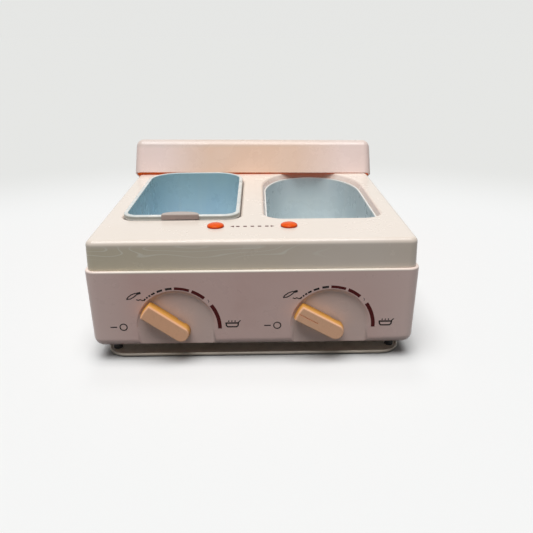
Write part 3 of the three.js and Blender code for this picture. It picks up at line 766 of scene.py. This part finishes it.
# Lift-out tank
def tank_lean(z):
    return (tank_top - z) / (tank_top - tank_floor) * well_rim


def make_tank(outer, inner):
    skirt_bottom = tank_top - tank_rim_skirt
    body = loft(tank_outline, wall(
        tank_floor, tank_top - tank_rim_wall, tank_floor_edge + tank_wall, 0,
        tank_rim - tank_wall, tank_lean))
    rim = loft(tank_outline, wall(skirt_bottom, tank_top, 0, tank_rim_wall))
    channel = cut(
        loft(tank_outline, [
            (tank_rim_wall, skirt_bottom - overrun), (tank_rim_wall, tank_top - tank_rim_wall)]),
        loft(tank_outline, [
            (tank_rim - tank_wall, skirt_bottom - 2 * overrun), (tank_rim - tank_wall, tank_top + overrun)]))
    roll = tank_rim_wall
    inside = loft(tank_outline, [
        *wall(tank_floor + tank_wall, tank_top - roll, tank_floor_edge, 0, tank_rim, tank_lean),
        *rounded(tank_rim, -roll / 2, tank_top, roll),
        (tank_rim - roll / 2, tank_top + overrun),
    ])
    notch = block(
        grip_left - grip_clearance, grip_right + grip_clearance,
        rim_front - overrun, rim_front + tank_rim_wall, skirt_bottom - overrun, tank_top - tank_rim_wall)
    shape = painted(cut(join(body, rim), channel, inside, notch), outer, inner)
    middle = Vector((-well_centre, (tank_well_front + tank_well_back) / 2, (tank_floor + tank_top) / 2))
    finished("lift_out_tank", lined(shape, middle), "wax_tank", "tank_enamel", "wax_tank")


def make_grip(material):
    low = tank_top + grip_clearance
    front = rim_front - grip_face - grip_clearance

    def tongue(inset):
        return [
            (grip_left + inset, front + inset),
            (grip_right - inset, front + inset),
            *arc(-well_centre, rim_front, grip_width / 2 - inset, grip_reach - inset, 0, pi, round_steps),
        ]

    edge = grip_thickness / 2
    plate = loft(tongue, [(0, low), *rounded(0, edge, low + 2 * edge, edge)])
    face = block(grip_left, grip_right, front, front + grip_face, deck_top + grip_clearance, low + edge)
    finished("thumb_grip", painted(join(plate, face), material), "wax_tank", "grip_plastic", "tank_grip")


# Knobs
def knob_outline(foot):
    def ring(inset):
        reach = knob_reach - foot - inset
        half = knob_half_width - inset
        swing = asin(half / reach)
        return [
            *arc(0, 0, reach, reach, pi - swing, 2 * swing, corner_steps),
            *arc(knob_tail - knob_half_width, 0, half, half, -quarter, pi, round_steps // 2),
        ]
    return ring


def make_knob(side, sign, material):
    shape = knob_outline(0)
    bar = loft(shape, [(0, knob_shoulder), *rounded(knob_taper, knob_bevel, knob_height, knob_bevel)])
    foot_outline = knob_outline(knob_reach - knob_foot)
    foot = loft(foot_outline, [(0, knob_lift), (0, knob_shoulder + seat_gap)])
    slope = loft(foot_outline, [(0, knob_lift), (knob_foot - knob_reach, knob_shoulder)])
    combine(slope, "INTERSECT", [loft(shape, [(0, 0), (0, knob_height)])])
    pocket = loft(disc(knob_pocket), [(0, -overrun), (0, knob_lift + knob_pocket_depth)])
    bore = loft(disc(shaft_radius + seat_gap), [(0, 0), (0, knob_lift + knob_pocket_depth + shaft_grip)])
    relief = block(
        -knob_relief / 2, knob_relief / 2, -knob_half_width - overrun, knob_half_width + overrun,
        0, knob_lift + knob_relief_height)
    cutters = [pocket, bore, relief]
    if side == "right":
        cutters.append(block(
            -knob_reach - overrun, -index_inner, -index_width / 2, index_width / 2,
            knob_height - index_depth, knob_height + overrun))
    whole = cut(join(bar, foot, slope), *cutters)
    moved(whole, Matrix.Rotation(-knob_angles[side], 4, "Z"))
    upright(whole, sign * dial_x, dial_floor, dial_height)
    finished(f"{side}_bar_knob", painted(whole, material), f"knob_{side}", "knob_plastic", f"{side}_knob")


# Lamps
def make_lens(side, sign, material):
    seat = deck_top + seat_gap
    bottom = deck_top - cover_wall - lamp_stem / 2
    outline = disc(lamp_radius, sign * lamp_x, lamp_y)
    dome = rounded(0, lamp_radius, seat + lamp_skirt + lamp_dome, lamp_dome)
    lens = loft(outline, [(0, seat), *dome[:-1]])
    stem = loft(outline, [(lamp_radius - lamp_stem, bottom), (lamp_radius - lamp_stem, seat + lamp_skirt)])
    shape = painted(join(lens, stem), material)
    finished(f"{side}_lens", shape, "housing", "lamp_lens", f"{side}_lamp_lens")


# Lid
def make_lid(outer, inner):
    half = half_width - ledge_width + lid_side_clearance + lid_wall
    depth = housing_depth - 2 * ledge_width + 2 * (lid_end_clearance + lid_wall)
    outline = rectangle(-half, half, 0, depth, housing_corner - ledge_width + lid_end_clearance + lid_wall)

    def lean(z):
        return max(z, 0) * tan(lid_draft)

    outside = loft(outline, wall(0, lid_height, fine_edge, lid_edge, lean=lean))
    inside = loft(outline, wall(-overrun, lid_height - lid_wall, 0, lid_edge - lid_wall, lid_wall, lean))
    shape = lined(painted(cut(outside, inside), outer, inner), Vector((0, depth / 2, lid_height / 2)))
    contact_x = half_width - ledge_width - cover_edge
    overhang = (half - contact_x) * sin(lid_roll)
    length = depth - lid_wall
    tilt = asin(deck_top / hypot(length, overhang)) - atan2(overhang, length)
    moved(shape, (
        Matrix.Translation((contact_x, lid_front + lid_wall, deck_top + seat_gap))
        @ Matrix.Rotation(-tilt, 4, "X")
        @ Matrix.Rotation(lid_roll, 4, "Y")
        @ Matrix.Translation((-contact_x, -lid_wall, 0))))
    finished("loose_lid", shape, "lid", "lid_plastic", "lid")


# Base pan
def make_pan(material):
    outline = rectangle(-pan_half_width, pan_half_width, pan_front, pan_back, pan_corner)
    half_rim = pan_rim_wall / 2
    outside = loft(outline, wall(pan_bottom, pan_rim_top, pan_edge, half_rim))
    inside = loft(outline, [
        (pan_rim_wall + fine_edge, pan_bottom + pan_floor),
        (pan_rim_wall, pan_rim_top - half_rim),
        *rounded(pan_rim_wall, -half_rim, pan_rim_top, half_rim),
        (half_rim, pan_rim_top + overrun),
    ])
    finished("tray", painted(cut(outside, inside), material), "housing", "housing_plastic", "base_pan")


# Spacers, pads and screws
def make_four(kind, part, x, places, z, material, slot, turn=0.0):
    """Stands a part near each of the four corners."""
    corners = [(sign * x, y, z) for y in places for _, sign in sides]
    nodes = [f"{kind}_{end}_{side}" for end in ends for side, _ in sides]
    finished(f"{kind}s", repeated(part, corners, material, turn), "housing", slot, *nodes)


def make_spacers(material):
    low = pan_bottom + pan_floor + seat_gap
    tall = housing_bottom - seat_gap - low
    waist = spacer_radius - spacer_groove
    middle = tall / 2
    flat, groove = tall * spacer_flat_share, tall * spacer_groove_share
    spacer = turned([
        (spacer_radius - fine_edge, 0), (spacer_radius, fine_edge), (spacer_radius, middle - groove),
        (waist, middle - flat), (waist, middle + flat), (spacer_radius, middle + groove),
        (spacer_radius, tall - fine_edge), (spacer_radius - fine_edge, tall)])
    make_four("spacer", spacer, spacer_x, spacer_places, low, material, "black_rubber")


def make_pads(material):
    tall = pan_bottom - seat_gap
    bevel = tall / 3
    pad = turned([(pad_radius - bevel, 0), (pad_radius, bevel), (pad_radius, tall)])
    places = (pan_front + pad_inset, pan_back - pad_inset)
    make_four("pad", pad, pad_x, places, 0, material, "black_rubber")


def screw(length):
    """A screw that points up from its seat, with a domed head and a cross in it."""
    dome = [(screw_head * sin(a), -screw_head_height * cos(a) - seat_gap) for a in turns()[1:]]
    body = turned([
        *dome, (screw_radius, -seat_gap), (screw_radius, length - screw_radius), (screw_radius / 4, length)])
    half = screw_cross_width / 2
    top = screw_cross_depth - screw_head_height - seat_gap
    bottom = -screw_head_height - overrun
    return cut(
        body, block(-screw_cross, screw_cross, -half, half, bottom, top),
        block(-half, half, -screw_cross, screw_cross, bottom, top))


def make_screws(kind, length, x, places, material):
    make_four(kind, screw(length), x, places, housing_bottom, material, "plated_steel", quarter)


# Mains inlet
def make_inlet(plastic, metal):
    face = housing_depth + inlet_flange_thickness + seat_gap - lower_lean(inlet_height + inlet_tall)
    half, tall = inlet_width / 2, inlet_tall / 2
    turn = Matrix.Translation((inlet_x, face, inlet_height)) @ Matrix.Rotation(-quarter, 4, "X")
    outline = rectangle(-half, half, -tall, tall, inlet_corner)
    body = loft(outline, [(0, -inlet_length), (0, 0)])
    edge = inlet_flange_thickness / 2
    flange = loft(outline, [(-inlet_flange, -inlet_flange_thickness), *rounded(-inlet_flange, edge, 0, edge)])
    socket = loft(outline, [
        (inlet_wall, -inlet_socket), (inlet_wall, -fine_edge), (inlet_wall - fine_edge, overrun)])
    shape = painted(moved(cut(join(body, flange), socket), turn), plastic)
    finished("inlet_socket", shape, "housing", "inlet_plastic", "mains_inlet")
    foot = -inlet_socket - inlet_wall
    tip = pin_length - inlet_socket
    blade = rectangle(
        -pin_thickness / 2, pin_thickness / 2, -pin_width / 2, pin_width / 2, fine_edge)
    pin = loft(blade, [(0, foot), (0, tip - fine_edge), (fine_edge / 2, tip)])
    pins = repeated(pin, [(step * pin_pitch, 0, 0) for step in (-1, 0, 1)], metal)
    finished("inlet_pins", moved(pins, turn), "housing", "plated_steel")


# Colours and patterns. A socket or a node gives the tree that it is in as its id_data.
def colour(code):
    """A linear colour from a hexadecimal one."""
    values = [int(code[i:i + 2], 16) / 255 for i in (0, 2, 4)]
    linear = [v / 12.92 if v <= 0.04045 else ((v + 0.055) / 1.055) ** 2.4 for v in values]
    return (*linear, 1)


def new_material(name):
    """A material with its surface and the place on the object in metres."""
    material = bpy.data.materials.new(name)
    material.use_nodes = True
    at = put(material.node_tree, "ShaderNodeTexCoord").outputs["Object"]
    return material, material.node_tree.nodes["Principled BSDF"], at


def mixed(share, first, second):
    """Mixes two colours, each of them a socket, a linear colour or a code."""
    pair = [colour(side) if isinstance(side, str) else side for side in (first, second)]
    node = put(share.id_data, "ShaderNodeMix", {0: share, 6: pair[0], 7: pair[1]}, data_type="RGBA")
    return node.outputs[2]


def reckoned(first, operation, second=0):
    return put(first.id_data, "ShaderNodeMath", {0: first, 1: second}, operation=operation).outputs[0]


def times(value, *others):
    for other in others:
        value = reckoned(value, "MULTIPLY", other)
    return value


def spread(value, low, high, top=1, bottom=0):
    node = put(value.id_data, "ShaderNodeMapRange", {
        "Value": value, "From Min": low, "From Max": high, "To Min": bottom, "To Max": top})
    return node.outputs["Result"]


def along(at, axis):
    return put(at.id_data, "ShaderNodeSeparateXYZ", {0: at}).outputs[axis]


def band(at, axis, *limits):
    return spread(along(at, axis), *limits)


def flank(at, start, end, share=1, middle=0):
    """Fades in on both sides with the distance along X from a middle."""
    distance = reckoned(reckoned(along(at, "X"), "SUBTRACT", middle), "ABSOLUTE")
    return spread(distance, start, end, share)


def stretched(at, x, y, z):
    return put(at.id_data, "ShaderNodeMapping", {"Vector": at, "Scale": (x, y, z)}).outputs["Vector"]


def noise(at, scale, detail, roughness=0.55):
    node = put(at.id_data, "ShaderNodeTexNoise", {
        "Vector": at, "Scale": scale, "Detail": detail, "Roughness": roughness})
    return node.outputs["Fac"]


def clouds(at, scale, detail):
    return spread(noise(at, scale, detail), 0.35, 0.65)


# Lighter vertical streaks down a wall, painted reflections.
def reflection_streaks(at, scale, share):
    return spread(noise(stretched(at, scale, scale, 4), 1, 2), 0.55, 0.72, share)


def dust(at, scale, share):
    return spread(noise(at, scale, 6, 0.7), 0.5, 0.75, share)


def moulded(at, main, faded, stain):
    """Moulded plastic that has faded in clouds and holds a few smudges."""
    tint = mixed(clouds(at, 7, 3), main, faded)
    smudge = spread(noise(at, 22, 5, 0.6), 0.56, 0.8, 0.3)
    return mixed(smudge, tint, stain)


def set_base(surface, base):
    surface.id_data.links.new(base, surface.inputs["Base Color"])


def set_gloss(surface, at, gloss, swing=0.07, scale=26):
    """Roughness that wiping has made uneven."""
    wipe = spread(noise(at, scale, 5, 0.65), 0.3, 0.7, gloss + swing, gloss - swing)
    surface.id_data.links.new(wipe, surface.inputs["Roughness"])


def set_bump(surface, height, depth, strength=0.25):
    """A relief of a depth in millimetres."""
    bump = put(surface.id_data, "ShaderNodeBump", {
        "Strength": strength, "Distance": depth * millimetre, "Height": height})
    surface.id_data.links.new(bump.outputs["Normal"], surface.inputs["Normal"])


def set_coat(surface, at, base, gloss, relief=None, depth=0.04, strength=0.25, swing=0.07, scale=26):
    """Colour, gloss and a relief, which is a fine moulded grain if none is given."""
    set_base(surface, base)
    set_gloss(surface, at, gloss, swing, scale)
    set_bump(surface, relief or noise(at, 900, 2), depth, strength)


# Materials
def yellowing_and_reflection(at, base, skirt, deck):
    """Yellows the cover towards one side, below its top edge and outside the deck's middle, also as a painted
    reflection.
    """
    return mixed(times(band(at, *yellowing_reflection_side), skirt, spread(deck, 1, 0)), base, "D6CCAC")


def painted_reflection_lines(at, base, skirt):
    """Thin pale lines on the cover's front edge, painted reflections of the surroundings."""
    fold = reckoned(noise(stretched(at, 13, 13, 60), 1, 1, 0.3), "PINGPONG", 0.06)
    reflection_line = spread(fold, 0.012, 0.004, 0.55)
    kept = times(reflection_line, band(at, *reflection_line_side), band(at, *reflection_line_heights), skirt)
    return mixed(kept, base, "FBF7EA")


def cover_plastic():
    material, surface, at = new_material("cover plastic")
    skirt = band(at, *skirt_heights)
    deck = times(flank(at, *deck_flanks), band(at, *deck_front), band(at, *deck_back))
    base = yellowing_and_reflection(at, moulded(at, "ECDDCE", "EFE2D6", "DFC9B7"), skirt, deck)
    # Painted light: the top of the deck is made lighter than the front band.
    base = mixed(band(at, *deck_top_light_heights), base, "F4E9DE")
    # Painted light: the collar walls round the wells are made paler where they lie in shade.
    base = mixed(times(deck, band(at, *collar_light_heights)), base, "FFEBE0")
    # Painted reflections: thin pale lines across the front band.
    base = painted_reflection_lines(at, base, skirt)
    # Painted shade and glow: orange-brown under the lid's front edge, standing in for the lid's shadow and
    # the light through it.
    base = mixed(times(band(at, *lid_glow_depths), band(at, *lid_glow_heights)), base, "B0714E")
    set_coat(surface, at, base, 0.25, depth=0.02, strength=0.12, swing=0.04)
    return material


def housing_plastic():
    """Plastic with a painted highlight that makes the ledge at its top pale, painted shade that greys the
    dial recesses and painted light that makes both sides paler.
    """
    material, surface, at = new_material("housing plastic")
    # Painted highlight: the lit top of the ledge is made pale.
    base = mixed(band(at, *ledge_highlight_heights), moulded(at, "EECAC2", "F1D2CA", "D9B3A8"), "F6ECDD")
    front = housing_low.y + lower_lean(0) * millimetre
    recess = front + dial_depth * millimetre
    leaning = put(at.id_data, "ShaderNodeVectorMath", {
        0: at, 1: (0, 1, tan(draft))}, operation="DOT_PRODUCT").outputs["Value"]
    recess_shade = spread(leaning, front, recess, recess_shade_share)
    behind = spread(leaning, recess + recess_reach, recess + recess_reach / 2)
    # Painted shade: the dial recesses are greyed.
    base = mixed(times(recess_shade, behind, flank(at, *dial_shade_flanks)), base, "CFD0C4")
    # Painted light: both sides of the housing are made paler.
    set_coat(surface, at, mixed(flank(at, *housing_light_flanks), base, "FFE6DE"), 0.3)
    return material


def tray_plastic():
    material, surface, at = new_material("tray plastic")
    base = moulded(at, "E9DDCB", "EDE3D4", "C9B9A4")
    set_coat(surface, at, mixed(dust(at, 70, 0.3), base, "B5A793"), 0.34, depth=0.03)
    return material


def lid_plastic():
    material, surface, at = new_material("lid plastic")
    base = moulded(at, "F6CFB4", "F8D6C0", "E8BDA0")
    # Painted light: paler at both ends and deeper peach in the middle, standing in for light glowing through
    # the lid.
    base = mixed(flank(at, *lid_light_flanks), base, "FFE8E2")
    # Painted highlight: a whiter, less pink tone along the lid's top edge.
    set_coat(surface, at, mixed(band(at, *lid_top_highlight_heights), base, "DDD0C6"), 0.28)
    return material


def lid_lining():
    """The inner side of the lid, deep orange and glowing a little as painted light for the light that comes
    through the wall.
    """
    material, surface, at = new_material("lid lining")
    warm = clouds(stretched(at, 12, 1, 30), 1, 3)
    set_base(surface, mixed(warm, "FFA860", "FF9C62"))
    set_gloss(surface, at, 0.42)
    surface.inputs["Subsurface Weight"].default_value = 1
    surface.inputs["Subsurface Radius"].default_value = (1, 0.4, 0.12)
    surface.inputs["Subsurface Scale"].default_value = 0.012
    # Painted light: the lining glows a little, standing in for light that comes through the wall.
    surface.inputs["Emission Color"].default_value = colour("FF8B45")
    surface.inputs["Emission Strength"].default_value = 0.13
    return material


def knob_plastic():
    """Worn orange plastic, with painted light that makes the knobs' sides deeper gold and painted shade that
    makes their feet darkest.
    """
    material, surface, at = new_material("knob plastic")
    base = moulded(at, "FFC296", "FFCAA2", "EBA878")
    grime = spread(noise(stretched(at, 1, 1, 0.5), 300, 5, 0.75), 0.5, 0.72, 0.25)
    base = mixed(grime, base, "D09464")
    # Painted light: the knobs' sides are made a deeper, lit gold.
    base = mixed(band(at, *knob_lit_side_depths), base, "F0AE52")
    # Painted shade: the knobs darken to brown at their feet.
    base = mixed(band(at, *knob_foot_shade_depths), base, "B57A1E")
    set_coat(surface, at, base, 0.42)
    surface.inputs["Specular IOR Level"].default_value = 0.9
    return material


def tank_lacquer():
    """Pale blue lacquer, with lighter streaks down the walls that are painted reflections, and a darker band
    below the rim.
    """
    material, surface, at = new_material("tank lacquer")
    base = mixed(clouds(at, 22, 4), "B9D2E0", "C2DAE3")
    base = mixed(reflection_streaks(at, 130, 0.35), base, "CFDEE2")
    base = mixed(band(at, *tank_heights), base, "A8C8CC")
    set_coat(surface, at, base, 0.28, noise(at, 300, 2))
    return material


def rim_lacquer():
    """The outer side and the rim of the tank, chalky white in patches as a painted highlight of the lit rim,
    with a band of painted shade.
    """
    material, surface, at = new_material("rim lacquer")
    rubbed_and_lit_patches = spread(noise(at, 90, 5), 0.4, 0.6)
    base = mixed(rubbed_and_lit_patches, "E6E7E2", "D3D9D7")
    # Painted shade: a grey band across the rim's outer face, between its lit top and foot.
    middle = times(band(at, *rim_shade_low_heights), band(at, *rim_shade_high_heights))
    set_coat(surface, at, mixed(middle, base, "A9ACA6"), 0.3, noise(at, 300, 2))
    return material


def pot_lacquer():
    """White lacquer, with lighter streaks down the walls that are painted reflections, painted shade that
    greys both sides and a painted highlight that makes the rim pale.
    """
    material, surface, at = new_material("pot lacquer")
    base = mixed(clouds(at, 18, 4), "DDE6E7", "D5E0E4")
    base = mixed(reflection_streaks(at, 110, 0.3), base, "F0F2EF")
    # Painted shade: the pot's walls are greyed on both sides.
    base = mixed(flank(at, *pot_shade_flanks, well_centre * millimetre), base, "B4C3C8")
    # Painted highlight: the lit rim is made pale.
    base = mixed(band(at, *pot_rim_highlight_heights), base, "F2F2EE")
    set_coat(surface, at, base, 0.28, noise(at, 300, 2))
    return material


def grip_plastic():
    material, surface, at = new_material("grip plastic")
    base = moulded(at, "9A8883", "A69590", "78665F")
    # Painted light: the grip's top face is made lighter than its shaded front.
    base = mixed(band(at, *grip_top_light_heights), base, "BDB1A9")
    set_coat(surface, at, base, 0.4, noise(at, 1000, 2), depth=0.05)
    return material


def lamp_plastic():
    """Orange lens plastic, deeper towards its edge."""
    material, surface, at = new_material("lamp plastic")
    glow = mixed(clouds(at, 240, 3), "EE5000", "F26404")
    base = mixed(band(at, *lens_heights), glow, "C03A0A")
    set_coat(surface, at, base, 0.16, noise(at, 500, 2), swing=0.04, scale=90)
    surface.inputs["Specular IOR Level"].default_value = 0.12
    return material


def ink(name, main, worn):
    material, surface, at = new_material(name)
    wear = spread(noise(at, 700, 5, 0.7), 0.52, 0.7, 0.4)
    set_base(surface, mixed(wear, main, worn))
    set_gloss(surface, at, 0.6, swing=0.06, scale=300)
    surface.inputs["Specular IOR Level"].default_value = 0.2
    return material


def drawn_metal(name, main, dull, gloss):
    """Metal with drawing lines along one way and dull clouds."""
    material, surface, at = new_material(name)
    cloud = spread(noise(at, 35, 4), 0.4, 0.65)
    lines = noise(stretched(at, 30, 30, 900), 1, 4, 0.7)
    base = mixed(cloud, main, dull)
    set_coat(surface, at, base, gloss, lines, depth=0.03, swing=0.08, scale=60)
    surface.inputs["Metallic"].default_value = 1
    return material


def heater_foil():
    material, surface, at = new_material("heater foil")
    base = mixed(clouds(at, 40, 5), "9A8470", "6E5A52")
    relief = noise(at, 260, 4, 0.7)
    set_coat(surface, at, base, 0.38, relief, depth=0.3, strength=0.6, swing=0.08, scale=80)
    surface.inputs["Metallic"].default_value = 1
    return material


def glass_wool():
    material, surface, at = new_material("glass wool")
    fibre = noise(stretched(at, 300, 900, 1500), 1, 5, 0.75)
    set_base(surface, mixed(spread(fibre, 0.4, 0.6), "E9E3D0", "D2C8A8"))
    surface.inputs["Roughness"].default_value = 0.95
    surface.inputs["Sheen Weight"].default_value = 0.4
    set_bump(surface, fibre, depth=0.6, strength=0.8)
    return material


def black_rubber():
    material, surface, at = new_material("black rubber")
    base = mixed(dust(at, 120, 0.5), "1B1A19", "4A4542")
    set_coat(surface, at, base, 0.7, noise(at, 1500, 3), depth=0.08)
    return material


def inlet_plastic():
    material, surface, at = new_material("inlet plastic")
    rub = spread(noise(at, 90, 5), 0.5, 0.7, 0.4)
    base = mixed(rub, "232322", "3B3A38")
    set_coat(surface, at, base, 0.42, noise(at, 2200, 2), depth=0.06, strength=0.4)
    return material


def switch_plastic():
    material, surface, at = new_material("switch plastic")
    base = moulded(at, "EFE9DC", "E8DFCB", "CFC0A0")
    set_coat(surface, at, base, 0.4, noise(at, 1200, 2), depth=0.05)
    return material


# CAD nodes that stay as they are
def coat_nodes(finishes):
    slots = {part["node"]: part["material_slot"] for part in frame["record"]["subparts"]}
    for name, node in frame["nodes"].items():
        if not node.hide_render:
            node.material_slots[0].material = finishes[slots[name]]


# Camera, stage and light
def set_camera():
    lens = bpy.data.cameras.new("camera")
    lens.lens = focal_length
    scene.camera = added("camera", lens)
    scene.camera.location = camera_place
    scene.camera.rotation_euler = camera_turn


def shown_to(tree, *rays):
    """Is 1 for the kinds of ray named, and 0 for all others."""
    path = put(tree, "ShaderNodeLightPath")
    value = path.outputs[rays[0]]
    for ray in rays[1:]:
        value = reckoned(value, "MAXIMUM", path.outputs[ray])
    return value


def make_floor():
    bpy.ops.mesh.primitive_plane_add(size=floor_size)
    floor = bpy.context.object
    floor.name = "floor"
    material, surface, at = new_material("floor")
    tree = at.id_data
    away = put(tree, "ShaderNodeVectorMath", {0: at, 1: sweep_middle}, operation="DISTANCE")
    far = put(tree, "ShaderNodeMapRange", {
        "Value": away.outputs["Value"], "From Min": sweep_start, "From Max": sweep_end},
        interpolation_type="SMOOTHSTEP")
    seen = mixed(far.outputs["Result"], near_floor, far_floor)
    # Painted contact shadow: ambient occlusion darkens the floor's colour near the object.
    contact = put(tree, "ShaderNodeAmbientOcclusion", {"Distance": contact_reach}, samples=contact_samples)
    grounded = mixed(spread(contact.outputs["AO"], 1, 0.5, contact_share), seen, "000000")
    set_base(surface, mixed(shown_to(tree, "Is Camera Ray", "Is Glossy Ray"), dim_floor, grounded))
    surface.inputs["Roughness"].default_value = 0.9
    surface.inputs["Specular IOR Level"].default_value = 0
    floor.data.materials.append(material)


def add_sun(name, height, side, spread_angle, power):
    """A soft light at a height above the front horizon, turned to one side."""
    lamp = bpy.data.lights.new(name, "SUN")
    lamp.angle = spread_angle
    lamp.energy = power
    towards = Vector((sin(side) * cos(height), -cos(side) * cos(height), sin(height)))
    added(name, lamp).rotation_euler = (-towards).to_track_quat("-Z", "Y").to_euler()


def set_world():
    world = bpy.data.worlds.new("room")
    world.use_nodes = True
    tree = world.node_tree
    background = tree.nodes["Background"]
    shown = shown_to(tree, "Is Camera Ray", "Is Glossy Ray", "Is Transmission Ray")
    tree.links.new(mixed(shown, room_light, backdrop), background.inputs["Color"])
    scene.world = world


def build():
    set_camera()
    aluminium = drawn_metal("bare aluminium", "C9CBCD", "B3B6B8", 0.32)
    steel = drawn_metal("plated steel", "BFC1C2", "A4A8AB", 0.3)
    rubber = black_rubber()
    knob = knob_plastic()
    lamp = lamp_plastic()
    make_cover(cover_plastic())
    make_lower_housing(housing_plastic())
    make_marks(ink("bar ink", "4C0A0B", "6C2C28"), ink("sign ink", "201A1A", "50423E"))
    make_well("left", aluminium, "bare_aluminium")
    make_well("right", pot_lacquer(), "pot_enamel")
    make_tank(rim_lacquer(), tank_lacquer())
    make_grip(grip_plastic())
    for side, sign in sides:
        make_knob(side, sign, knob)
        make_lens(side, sign, lamp)
    make_lid(lid_plastic(), lid_lining())
    make_pan(tray_plastic())
    make_spacers(rubber)
    make_pads(rubber)
    make_screws("tie_screw", tie_screw_length, post_x, post_places, steel)
    make_screws("plate_screw", plate_screw_length, plate_screw_x, plate_screw_places, steel)
    make_inlet(inlet_plastic(), steel)
    coat_nodes({
        "bare_aluminium": aluminium,
        "plated_steel": steel,
        "heater_foil": heater_foil(),
        "glass_wool": glass_wool(),
        "capillary_copper": drawn_metal("bare copper", "C98C62", "9A6A4C", 0.3),
        "nut_brass": drawn_metal("turned brass", "C8A860", "A68848", 0.28),
        "switch_plastic": switch_plastic(),
    })
    make_floor()
    set_world()
    add_sun("key", height=radians(77), side=radians(-20), spread_angle=radians(44), power=2.8)
    add_sun("edge light", height=radians(112), side=radians(4), spread_angle=radians(14), power=0.22)


build()
scene.view_settings.view_transform = "Standard"
